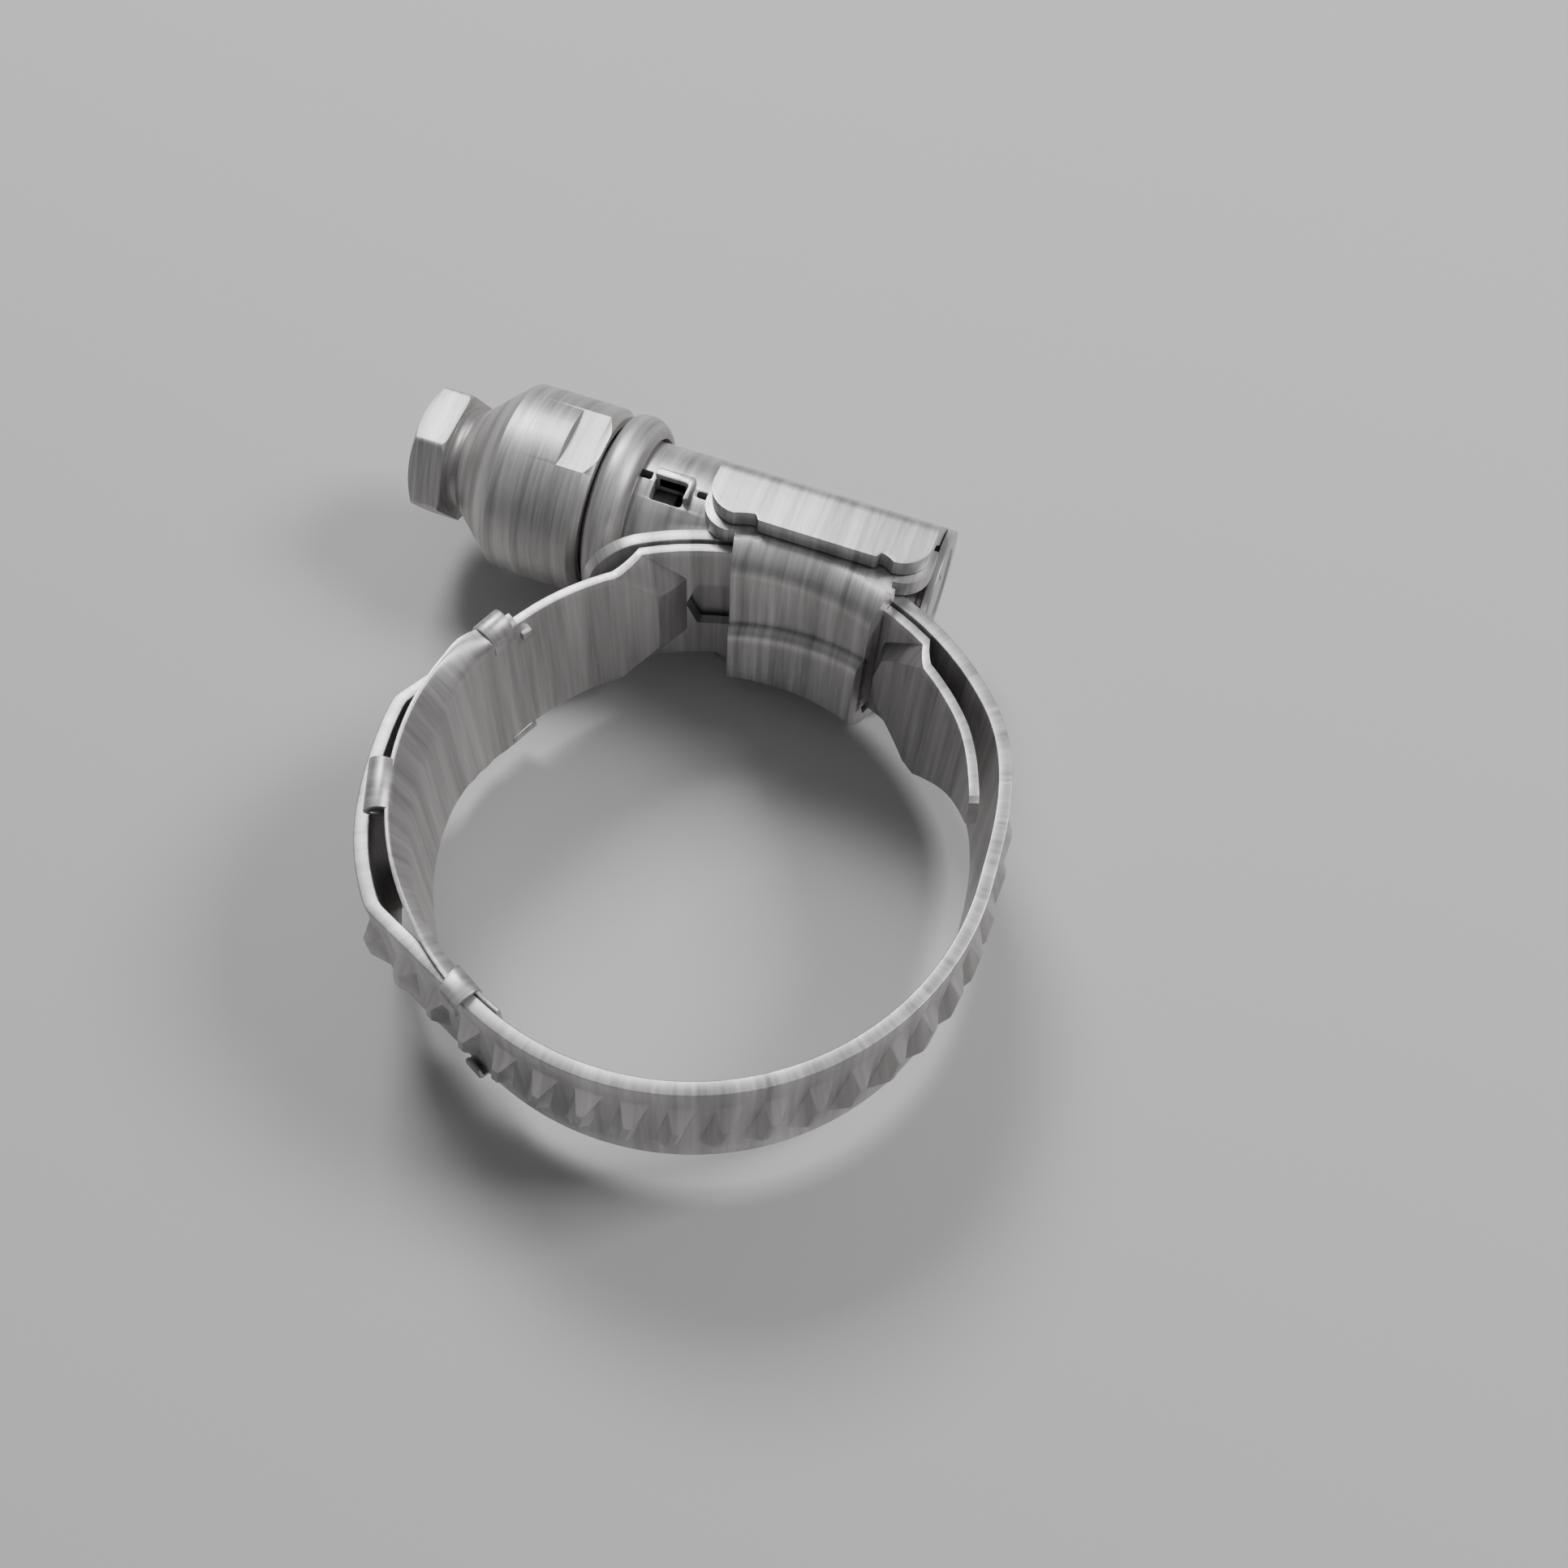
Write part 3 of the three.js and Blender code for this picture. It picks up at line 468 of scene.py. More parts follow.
def band_outer(angle):
    """Outer surface of the long part of the band, from the upper flex line round to the tail.

    The band runs straight out to the bow, round it, straight back to the ring, and rises at last to the tail.
    """
    if angle > 230:
        return lerp(RING_RADIUS, TAIL_RADIUS, ramp(angle, 272, 310))
    up = straight(LOW_STRAP_RADIUS, min(angle, 140) - BOW_LEAVES)
    down = straight(RING_RADIUS, BOW_RETURNS - max(angle, 90))
    bow = lerp(BOW_TOP_RADIUS, BOW_RADIUS, ramp(angle, 97, 124))
    if angle < 75:
        return up
    return soft_min(up if angle < 120 else down, bow, BOW_CORNER)


def band_thickness(angle):
    return lerp(STRAP_THICKNESS, BAND_THICKNESS, ramp(angle, 64, 88))


def rounded_section(low, high, across, edge):
    """(z, on the inner face, depth) once round a strip's cross-section with rounded edges."""
    flats = [lerp(low + edge, high - edge, f) for f in across]
    arc = [math.radians(a) for a in (30, 60, 90)]
    rise = [(edge * math.sin(a), edge * (1 - math.cos(a))) for a in arc]
    loop = [(z, False, 0.0) for z in flats]
    loop += [(high - edge + out, False, depth) for out, depth in rise]
    loop += [(high - edge + out, True, depth) for out, depth in reversed(rise)]
    loop += [(z, True, 0.0) for z in reversed(flats)]
    loop += [(low + edge - out, True, depth) for out, depth in rise]
    loop += [(low + edge - out, False, depth) for out, depth in reversed(rise)]
    return loop


def strip(name, columns, angle_at, sides, outer, inner, across, edge=0.09):
    """A strip bent round the ring. angle_at(column, z) gives a column's angle at a width."""
    loops = []
    for column in columns:
        low, high = sides(angle_at(column, 0.0))
        # A slanted column meets each side at another angle, so its ends settle step by step.
        for _ in range(12):
            low = (low + sides(angle_at(column, low))[0]) / 2
            high = (high + sides(angle_at(column, high))[1]) / 2
        loop = []
        for z, on_inner, depth in rounded_section(low, high, across, edge):
            angle = angle_at(column, z)
            radius = inner(angle, z) + depth if on_inner else outer(angle, z) - depth
            loop.append(on_ring(radius, angle, z))
        loops.append(loop)
    return loft(name, loops)


FULL_WIDTH = (-BAND_HALF_WIDTH, BAND_HALF_WIDTH)
ACROSS = [i / 6 for i in range(7)]
TOOTH_PITCH_RADIUS = 22.9
TOOTH_SPACING = LEAD * TAIL_RADIUS / TOOTH_PITCH_RADIUS
FIRST_TOOTH = 125.0
LAST_TOOTH = 378.0


def tooth_angles():
    """The teeth are spaced by the screw's lead along the band, with one under the screw's middle."""
    step = 0.05
    found = []
    for way in (1, -1):
        travelled = 0.0
        angle = 360.0
        while FIRST_TOOTH < angle < LAST_TOOTH:
            if travelled >= (0 if way > 0 else TOOTH_SPACING):
                found.append(angle)
                travelled -= TOOTH_SPACING
            angle += way * step
            travelled += band_outer(angle) * math.radians(step)
    return sorted(found)


TOOTH_ANGLES = tooth_angles()


def slanted(angle, z):
    """An angle shifted along a tooth's slant at a width."""
    return angle + math.degrees(SLANT * z / RING_RADIUS)


# Half width along the band, half length across it, and height above the band.
TOOTH_FOOT = (1.1, 4.3, -0.3)
TOOTH_CREST = (0.25, 1.5, 0.95)


def tooth_shape():
    """One hipped ridge as (along the band, height, z) points and its faces, with softened edges."""
    work = bmesh.new()
    corners = []
    for half, reach, level in (TOOTH_FOOT, TOOTH_CREST):
        for side, way in ((-1, -1), (1, -1), (1, 1), (-1, 1)):
            corners.append(work.verts.new((side * half, level, way * reach)))
    work.faces.new(corners[:4])
    work.faces.new(corners[4:])
    for i in range(4):
        k = (i + 1) % 4
        work.faces.new((corners[i], corners[k], corners[k + 4], corners[i + 4]))
    bmesh.ops.recalc_face_normals(work, faces=work.faces)
    upper = [e for e in work.edges if e.verts[0].co.y > 0 and e.verts[1].co.y > 0]
    hips = [e for e in work.edges if (e.verts[0].co.y > 0) != (e.verts[1].co.y > 0)]
    bmesh.ops.bevel(
        work, geom=upper + hips, offset=0.05, segments=2, profile=0.5, affect="EDGES",
        clamp_overlap=True,
    )
    work.verts.index_update()
    points = [tuple(v.co) for v in work.verts]
    faces = [[v.index for v in f.verts] for f in work.faces]
    work.free()
    return points, faces


TOOTH = tooth_shape()


def teeth(angles):
    """All the teeth at these angles as one object."""
    points, faces = [], []
    for angle in angles:
        start = len(points)
        for along, height, z in TOOTH[0]:
            turn = angle + math.degrees((along + SLANT * z) / band_outer(angle))
            points.append(on_ring(band_outer(turn) + height, turn, z))
        faces += [[start + i for i in face] for face in TOOTH[1]]
    return mesh_object("teeth", points, faces)


def between_teeth(angle):
    """The middle of the gap between two teeth that is nearest to an angle."""
    gaps = [(a + b) / 2 for a, b in zip(TOOTH_ANGLES, TOOTH_ANGLES[1:])]
    return min(gaps, key=lambda gap: abs(gap - angle))


def band_part(name, start, end, body, node):
    """A length of the toothed band between two angles, which follow the teeth's slant."""
    made = strip(
        name, spread(start, end, 1.2), slanted, lambda angle: FULL_WIDTH,
        lambda angle, z: band_outer(angle),
        lambda angle, z: band_outer(angle) - band_thickness(angle),
        ACROSS,
    )
    inside = [a for a in TOOTH_ANGLES if start < a < end]
    if inside:
        combine(made, teeth(inside), "UNION")
    return finish_piece(made, BAND, body, node)


def flex_part(name, start, end, node):
    """A short length of the band between two bodies, hung on neither."""
    made = band_part(name, start, end, None, node)
    middle = (start + end) / 2
    radius = band_outer(middle) - band_thickness(middle) / 2
    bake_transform(made)
    return made


# ---- the fixed end -------------------------------------------------------------------------
JOGGLE_CLEAR = 22.6  # the joggles keep clear of the saddle up to this angle
# Where a joggle starts in the middle and at the edge of the strap, and how long its slope is there.
LEFT_JOGGLE = (13.1, 32.0, 6.6, 6.9)
RIGHT_JOGGLE = (14.3, 32.3, 1.0, 4.8)


def joggle(z, right):
    """Where a joggle's slope starts and ends at a width, in degrees from the strap's middle."""
    middle, edge, middle_run, edge_run = RIGHT_JOGGLE if right else LEFT_JOGGLE
    share = abs(z) / BAND_HALF_WIDTH
    start = max(JOGGLE_CLEAR, lerp(middle, edge, share))
    return start, start + lerp(middle_run, edge_run, share)


HOLE = [(-7.9, 0), (-7.1, -2.6), (-4.2, -2.6), (-4.2, 2.6), (-7.1, 2.6)]  # (x, z)
FIXED_KNOTS = [  # the fixed end's columns run between these angles
    lambda z: TONGUE_END,
    lambda z: -joggle(z, True)[1],
    lambda z: -joggle(z, True)[0],
    lambda z: joggle(z, False)[0],
    lambda z: joggle(z, False)[1],
    lambda z: slanted(UPPER_FLEX - FLEX_HALF, z),
]


def fixed_angle(column, z):
    """A column of the fixed end follows its arrow-shaped joggles."""
    span, t = column
    return lerp(FIXED_KNOTS[span](z), FIXED_KNOTS[span + 1](z), t)


def fixed_outer(angle, z):
    """Outer surface of the fixed end: high under the screw, low beyond both joggles."""
    right = angle < 0
    if angle > 50:
        return band_outer(angle)
    low = LOW_STRAP_RADIUS
    if right:
        low = lerp(LOW_STRAP_RADIUS + 0.3, TONGUE_RADIUS, ramp(-angle, 50, 72))
    start, end = joggle(z, right)
    t = clamp01((abs(angle) - start) / (end - start))
    t = t * (1.5 - 0.5 * t)
    return lerp(STRAP_RADIUS, low, t)


TAPER_START = -41  # where the tongue's far side starts to slant
ROUND_START = -68  # where the tongue's near corner starts to turn


def tongue_sides(angle):
    """The tongue tapers from its far side and has one round corner at its tip."""
    cut = clamp01((TAPER_START - angle) / (TAPER_START - TONGUE_END))
    end = clamp01((ROUND_START - angle) / (ROUND_START - TONGUE_END))
    return (
        lerp(-BAND_HALF_WIDTH, 4.5, cut),
        BAND_HALF_WIDTH - 1.2 * (1 - math.sqrt(1 - end * end)),
    )


def fixed_end():
    counts = [24, 8, 16, 8, 12]  # columns in each span between two knots
    columns = [(span, i / n) for span, n in enumerate(counts) for i in range(n)] + [(4, 1.0)]
    made = strip(
        "band_fixed_end_strip", columns, fixed_angle, tongue_sides, fixed_outer,
        lambda angle, z: fixed_outer(angle, z) - STRAP_THICKNESS,
        [i / 20 for i in range(21)],
    )
    cutter = prism("hole", filleted(HOLE, 0.25), lambda x, z, y: Vector((x, y, z)), (15, 24))
    combine(made, cutter, "DIFFERENCE")
    return finish_piece(made, BAND, "housing_body", "band_fixed_end", smooth=18)


def stop_lug():
    """A small lug pressed inwards stops the liner from creeping towards the housing."""
    outline = filleted([(-0.45, -0.65), (0.45, -0.65), (0.45, 0.3), (-0.45, 0.3)], 0.2)
    radius = LOW_STRAP_RADIUS - STRAP_THICKNESS
    turn = 61.9
    made = prism(
        "band_stop_lug", outline,
        lambda u, v, depth: on_ring(radius + v, turn + math.degrees(u / radius), depth),
        (BAND_HALF_WIDTH - 1.5, BAND_HALF_WIDTH - 0.6),
    )
    eased(made, 0.12)
    return finish_piece(made, BAND, "left_band_body", "band_bow")


def tail():
    """The free tail: through the housing, ending in a rounded tip."""
    tip = 12
    start = between_teeth(RIGHT_FLEX + 2 * FLEX_HALF)

    def half_width(angle):
        u = clamp01((angle - (TAIL_TIP - tip)) / tip)
        return BAND_HALF_WIDTH * (0.45 + 0.55 * math.sqrt(1 - u * u))

    def angle_at(angle, z):
        return angle + math.degrees(SLANT * z / RING_RADIUS) * clamp01((TAIL_TIP - tip - angle) / 30)

    columns = spread(start, TAIL_TIP - tip, 1.2) + spread(TAIL_TIP - tip, TAIL_TIP, 0.6)[1:]
    made = strip(
        "band_tail_strip", columns, angle_at, lambda angle: (-half_width(angle), half_width(angle)),
        lambda angle, z: band_outer(angle), lambda angle, z: band_outer(angle) - BAND_THICKNESS,
        ACROSS,
    )
    combine(made, teeth([a for a in TOOTH_ANGLES if a > start]), "UNION")
    return finish_piece(made, BAND, "tail_body", "band_tail")


def band():
    bow_end = between_teeth(LOWER_FLEX - FLEX_HALF)
    threaded_start = between_teeth(LOWER_FLEX + FLEX_HALF)
    threaded_end = between_teeth(RIGHT_FLEX - FLEX_HALF)
    tail_start = between_teeth(RIGHT_FLEX + 2 * FLEX_HALF)
    upper_start, upper_end = UPPER_FLEX - FLEX_HALF, UPPER_FLEX + FLEX_HALF
    fixed_end()
    stop_lug()
    flex_part(
        "band_flex_upper", upper_start, upper_end, "band_fixed_end"
    )
    band_part("band_bow_strip", upper_end, bow_end, "left_band_body", "band_bow")
    flex_part(
        "band_flex_lower", bow_end, threaded_start, "band_bow"
    )
    band_part("band_threaded_strip", threaded_start, threaded_end, "right_band_body", "band_threaded")
    flex_part(
        "band_flex_right", threaded_end, tail_start, "band_threaded"
    )
    tail()


# ---- the liner -----------------------------------------------------------------------------
LINER_START = 63.3
LINER_END = 161.0
LINER_GAP = 0.05


def liner_thickness(angle):
    return 0.3 + 0.25 * ramp(angle, 62, 74) * (1 - ramp(angle, 140, 156))


def hose_surface(angle):
    """Radius of the hose, whose middle lies a little below the ring's, seen from the ring's middle."""
    c = math.cos(math.radians(angle))
    return -HOSE_DROP * c + math.sqrt(HOSE_RADIUS ** 2 - HOSE_DROP ** 2 * (1 - c * c))


def liner_inner(angle):
    """The liner lies on the hose, or just inside the band where there is less room."""
    room = band_outer(angle) - band_thickness(angle) - LINER_GAP - liner_thickness(angle)
    return min(hose_surface(angle), room)


def liner_half_width(angle):
    """The liner widens past its top hook and narrows again towards its low one."""
    wide = 7.55 + 0.5 * ramp(angle, 67, 76) + 0.25 * ramp(angle, 76, 95)
    return wide - 0.95 * ramp(angle, 124, 144) - 0.4 * ramp(angle, 153, 157)


RIM_RADIUS = 20.62  # outer face of the liner's flared rim
RIM_THICKNESS = 0.3


def flare_share(angle, z):
    """How far across the liner's flared edge a width lies, from its crease (0) to its rim (1)."""
    crease = 6.95 - 1.75 * ramp(angle, 74, 95) * (1 - ramp(angle, 112, 134))
    crease -= 0.4 * ramp(angle, 153, 157)
    return clamp01((abs(z) - crease) / (liner_half_width(angle) - crease))


def liner_flare(angle, z):
    """How far the liner's flared edge has turned away from the hose at a given width."""
    u = flare_share(angle, z)
    rise = RIM_RADIUS - RIM_THICKNESS - liner_inner(angle)
    rise *= lerp(0.5, 1, ramp(angle, 64, 76)) * (1 - 0.98 * ramp(angle, 151, 156))
    curve = (1 - math.sqrt(1 - 0.98 * u * u)) / (1 - math.sqrt(0.02))
    return rise * lerp(curve, u, 0.9 * ramp(angle, 68, 82))


HOOK_RADIUS = 21  # where a hook's width along the ring is measured
# Each bent tab as (radius, z) points from its root in the liner to its tip.
TOP_HOOK = [
    (18.62, 6.0), (18.68, 6.8), (19.05, 7.45), (19.6, 7.78), (20.2, 7.65), (20.52, 7.1), (20.55, 5.4),
]
MIDDLE_CURL = [
    (20.3, 7.8), (20.5, 8.15), (21.0, 8.4), (21.55, 8.3), (21.88, 7.95), (21.7, 7.6), (21.2, 7.35),
    (20.85, 7.05),
]
LOW_HOOK = [
    (19.42, 6.2), (19.5, 6.85), (19.85, 7.2), (20.4, 7.3), (20.95, 7.25), (21.3, 6.95), (21.35, 5.6),
]


def hook(name, path, angle, root, tip, thickness=0.36):
    """A bent tab. path holds (radius, z) points; root and tip are (start, end) in mm along the ring."""
    spine = smooth_path(path)
    loops = []
    for i, here in enumerate(spine):
        before, after = spine[max(0, i - 1)], spine[min(len(spine) - 1, i + 1)]
        along = (after - before).normalized()
        side = Vector((-along.y, along.x)) * thickness / 2
        t = i / (len(spine) - 1)
        start, end = lerp(root[0], tip[0], t), lerp(root[1], tip[1], t)
        loop = []
        for across, face in ((start, -1), (end, -1), (end, 1), (start, 1)):
            spot = here + side * face
            loop.append(on_ring(spot.x, angle + math.degrees(across / HOOK_RADIUS), spot.y))
        loops.append(loop)
    return eased(loft(name, loops), 0.12, angle=50)


def liner():
    def inner(angle, z):
        return liner_inner(angle) + liner_flare(angle, z)

    def outer(angle, z):
        share = flare_share(angle, z)
        return inner(angle, z) + lerp(liner_thickness(angle), RIM_THICKNESS, share)

    # Shares of the liner's width, close together where its edges flare.
    rim = [0, 0.012, 0.03, 0.055, 0.085, 0.12, 0.16, 0.22]
    across = rim + [0.36, 0.5, 0.64] + [1 - f for f in reversed(rim)]

    def sides(angle):
        return (-liner_half_width(angle), liner_half_width(angle))

    made = strip(
        "liner_sheet", spread(LINER_START, LINER_END, 1.3), lambda angle, z: angle, sides,
        outer, inner, across, edge=0.08,
    )
    finish_piece(made, LINER, "left_band_body", "liner")
    for label, path, angle, root, tip in (
        ("top", TOP_HOOK, 67.6, (-1.15, 1.15), (-1.15, 1.15)),
        ("middle", MIDDLE_CURL, 109.4, (-1.9, 1.9), (-1.9, 1.9)),
        ("low", LOW_HOOK, 152.2, (-1.5, 1.3), (-0.2, 1.1)),
    ):
        for side, way in (("near", 1), ("far", -1)):
            made = hook(f"liner_hook_{label}_{side}", [(r, way * z) for r, z in path], angle, root, tip)
            finish_piece(made, LINER, "left_band_body", "liner")


# ---- the housing ---------------------------------------------------------------------------
WING_RELIEF = {-1: 4.15, 1: 4.75}  # half of the straight stretch, on the left and the right
WING_CORNER = 2.3  # radius of a wing's and a lobe's round corners
RELIEF_STEP = 0.45  # height of the step at each end of the straight stretch


def wing_drop(u, half_length):
    """How far above the straight stretch a wing's lower edge lies, u from the wing's middle."""
    relief = WING_RELIEF[1 if u > 0 else -1]
    away = abs(u)
    if away < relief:
        return 0.0
    end = half_length - WING_CORNER
    if away < end:
        lift = ramp(away, relief, relief + 0.35) * (1 - ramp(away, relief + 0.3, end + 0.4))
        return RELIEF_STEP * lift
    turn = clamp01((away - end) / WING_CORNER)
    return WING_CORNER * (1 - math.sqrt(max(0.0, 1 - turn * turn)))


def wing_stations(half_length):
    """Places along a wing: close together at its round corners and reliefs."""
    end = half_length - WING_CORNER
    stations = [0]
    for side, relief in WING_RELIEF.items():
        half = [1.4, 2.8, relief - 0.35] + [relief + step for step in (0, 0.1, 0.2, 0.3, 0.45)]
        half += spread(relief + 0.7, end, 0.3)
        turns = [math.radians(a) for a in (12, 24, 36, 48, 60, 70, 80, 90)]
        half += [end + WING_CORNER * math.sin(a) for a in turns]
        stations += [side * u for u in half]
    return sorted(stations)


def sheet_path(inward):
    """The housing's sheet seen along the screw, as (y, z) from the top to the near wing's face."""
    radius = TUBE_RADIUS + 0.02 - inward
    wing = WING_FACE - inward
    slope = math.radians(ROOF_ANGLE)
    points = []
    for a in spread(0, slope, math.radians(6)):
        points.append(Vector((SCREW_HEIGHT + radius * math.cos(a), radius * math.sin(a))))
    corner = SCREW_HEIGHT + (radius - wing * math.sin(slope)) / math.cos(slope)
    bend = 0.75
    first = Vector((corner + bend * math.sin(slope), wing - bend * math.cos(slope)))
    last = Vector((corner - bend, wing))
    middle = Vector((corner, wing))
    points.append(points[-1].lerp(first, 0.5))
    for t in (0, 0.2, 0.4, 0.6, 0.8, 1):
        points.append(first * (1 - t) ** 2 + middle * (2 * t * (1 - t)) + last * t * t)
    return points


def housing_wings():
    rows = []
    paths = [sheet_path(0), sheet_path(SHEET)]
    for u in wing_stations(WING_HALF_LENGTH):
        low = WING_BOTTOM + wing_drop(u, WING_HALF_LENGTH)
        row = []
        for path in paths:
            upper = path[-1]
            down = [Vector((lerp(upper.x, low, t), upper.y)) for t in (0.35, 0.7, 0.9, 1)]
            half = path + down
            whole = [Vector((p.x, -p.y)) for p in reversed(half[1:])] + half
            row.append([Vector((HOUSING_MIDDLE + u, p.x, p.y)) for p in whole])
        rows.append(row)
    made = grid_shell("housing_wings", [r[0] for r in rows], [r[1] for r in rows])
    eased(made, 0.16, angle=50, segments=3)
    return finish_piece(made, HOUSING, "housing_body", "housing")


def passage(name, extra, half_width):
    """A cutter that leaves room over the band where it passes through the housing."""
    rim = [on_ring(TAIL_RADIUS + extra, a) for a in range(-60, 61, 2)]
    outline = [(p.x, p.y) for p in rim] + [(16, 10), (-16, 10)]
    return prism(name, outline, along_z, (-half_width, half_width))


BAND_ROOM = 0.35  # between the band and the housing
TOOTH_ROOM = 1.3  # the same where the teeth pass
HOOD_TOP = SCREW_HEIGHT + 0.25
HOOD_BOTTOM = SCREW_HEIGHT - 2.28
HOOD_ROOF = 0.75
HOOD_OPENING = (-12.65, -10.0)
WINDOW_RIGHT = -12.95
NOTCH = (-9.2, -6.0)


def rounded_box(name, x0, x1, y0, y1, z0, z1, radius):
    """A block along Z whose outline has rounded corners."""
    outline = filleted([(x0, y0), (x1, y0), (x1, y1), (x0, y1)], radius)
    return prism(name, outline, along_z, (z0, z1))


def lance_cutters(side):
    """The window, the notch and the opening under the hood, on one side of the tube."""
    left, right = HOOD_OPENING
    for name, x0, x1, y0, y1, z0, z1, radius in (
        ("window", TUBE_LEFT - 1, WINDOW_RIGHT, SCREW_HEIGHT - 0.83, SCREW_HEIGHT - 0.1, 3.5, 7.0, 0.2),
        ("notch", *NOTCH, SCREW_HEIGHT - 1.13, SCREW_HEIGHT - 0.53, 3.5, 7.0, 0.28),
        ("slot", left, right, HOOD_BOTTOM, HOOD_TOP - HOOD_ROOF, 3.0, 7.2, 0.3),
    ):
        yield rounded_box(name, x0, x1, y0, y1, side * z0, side * z1, radius)


def lance_hood(side):
    """The square hood pressed out over its opening. The inside looks dark from real shadow and from the
    bushing's painted shade.
    """
    left, right = HOOD_OPENING
    made = rounded_box(
        f"housing_hood_{'near' if side > 0 else 'far'}", left - 0.1, right + 0.4,
        HOOD_BOTTOM + 0.3, HOOD_TOP, side * 4.9, side * 6.35, 0.25,
    )
    inside = rounded_box(
        "hood_inside", left - 1, right, HOOD_BOTTOM - 1, HOOD_TOP - HOOD_ROOF,
        side * 4.0, side * 7.5, 0.3,
    )
    combine(made, inside, "DIFFERENCE")
    eased(made, 0.13, angle=50)
    return finish_piece(made, HOUSING, "housing_body", "housing")


def housing_tube():
    left = HOUSING_MIDDLE - WING_HALF_LENGTH
    made = turned(
        "housing_tube",
        [(TUBE_LEFT, TUBE_BORE), (TUBE_LEFT, TUBE_RADIUS), (left + 0.3, TUBE_RADIUS),
         (left + 0.3, TUBE_BORE)],
        segments=128, fillet=0.12,
    )
    combine(made, passage("passage", BAND_ROOM, 12), "DIFFERENCE")
    combine(made, passage("tooth_room", TOOTH_ROOM, 5.2), "DIFFERENCE")
    for side in (1, -1):
        for cutter in lance_cutters(side):
            combine(made, cutter, "DIFFERENCE")
    eased(made, 0.07, angle=40)
    finish_piece(made, HOUSING, "housing_body", "housing")
    for side in (1, -1):
        lance_hood(side)


END_WALL = 9.4
TIP_HOLE = 2.35


def housing_end():
    """The tube's right end: a ring and the wall whose hole holds the screw's tip."""
    right = HOUSING_MIDDLE + WING_HALF_LENGTH
    made = turned(
        "housing_end",
        [(right + 0.1, TUBE_BORE), (right + 0.1, TUBE_RADIUS), (TUBE_RIGHT, TUBE_RADIUS),
         (TUBE_RIGHT, TUBE_BORE), (TUBE_RIGHT - 0.2, TUBE_BORE), (TUBE_RIGHT - 0.2, TIP_HOLE),
         (END_WALL, TIP_HOLE), (END_WALL, TUBE_BORE)],
        segments=128, fillet=0.1,
    )
    combine(made, passage("passage", BAND_ROOM, 12), "DIFFERENCE")
    eased(made, 0.06, angle=40)
    return finish_piece(made, HOUSING, "housing_body", "housing")


# ---- the saddle ----------------------------------------------------------------------------
SADDLE_WALL = WING_FACE - SHEET - 0.15
SADDLE_FLOOR = STRAP_RADIUS - STRAP_THICKNESS - 0.15
FLAP_SHEET = 1.55
FLAP_STEP = 0.95  # how far the far flap stands inwards from the near one
NEAR_BEND = 2.3
FAR_BEND = 3.4
WALL_SHEET = SADDLE_WALL - BAND_HALF_WIDTH - 0.18
WALL_TOP = SCREW_HEIGHT - 1.4
FLAP_TOP = 21.4  # radius up to which a flap's sheet is part of the flat wall


def saddle_columns():
    left = SADDLE_MIDDLE - SADDLE_HALF_LENGTH
    right = SADDLE_MIDDLE + SADDLE_HALF_LENGTH
    ends = [-math.degrees(math.asin(x / SADDLE_FLOOR)) for x in (right, left)]
    return spread(*ends, 1.5)


def flap(name, side, depth, bend, reach, round_end):
    """A sheet from a saddle wall round the bend and over the floor to reach(angle)."""
    inner_radius = SADDLE_FLOOR - depth
    outer_rows, inner_rows = [], []
    for angle in saddle_columns():
        face, back = [], []
        for t in (1, 0.5, 0):
            radius = lerp(inner_radius + bend, FLAP_TOP, t)
            face.append((radius, SADDLE_WALL))
            back.append((max(radius, SADDLE_FLOOR + 0.3), SADDLE_WALL - WALL_SHEET))
        for a in spread(0, 90, 9)[1:]:
            c, s = math.cos(math.radians(a)), math.sin(math.radians(a))
            z = SADDLE_WALL - bend + bend * c
            face.append((inner_radius + bend * (1 - s), z))
            back.append((inner_radius + FLAP_SHEET + 0.5 * c, z - WALL_SHEET * c))
        end = reach(angle)
        start = SADDLE_WALL - bend
        for t in (0.25, 0.5, 0.75, 0.85, 0.92, 0.95, 0.975, 0.99, 1):
            z = lerp(start, end, t)
            past = clamp01((end + round_end - z) / round_end) if round_end else 0.0
            rounded = FLAP_STEP * (1 - math.sqrt(1 - 0.97 * past * past))
            face.append((inner_radius + rounded, z))
            back.append((inner_radius + FLAP_SHEET, z))
        outer_rows.append([on_ring(r, angle, side * z) for r, z in face])
        inner_rows.append([on_ring(r, angle, side * z) for r, z in back])
    return grid_shell(name, outer_rows, inner_rows)


def saddle_wall(side):
    """One flat wall: the lobes under the wing, filled down to the flap's sheet in the middle."""
    half_length = WING_HALF_LENGTH + 0.35
    lower = WING_BOTTOM - 0.55
    left = SADDLE_MIDDLE - SADDLE_HALF_LENGTH
    right = SADDLE_MIDDLE + SADDLE_HALF_LENGTH
    outline = []
    for u in wing_stations(half_length):
        x = HOUSING_MIDDLE + u
        if x < left or x > right:
            outline.append((x, lower + wing_drop(u, half_length)))
    foot = [on_ring(FLAP_TOP - 0.5, a) for a in reversed(saddle_columns())]
    before = [p for p in outline if p[0] < left]
    after = [p for p in outline if p[0] > right]
    edge = before + [(left, before[-1][1])]
    edge += [(p.x, p.y) for p in foot]
    edge += [(right, after[0][1])] + after
    edge += [(edge[-1][0], WALL_TOP), (edge[0][0], WALL_TOP)]
    return prism("wall", edge, along_z, (side * (SADDLE_WALL - WALL_SHEET), side * SADDLE_WALL))


def near_reach(angle):
    return -5.6


def far_reach(angle):
    return 0.06 * angle - 0.9


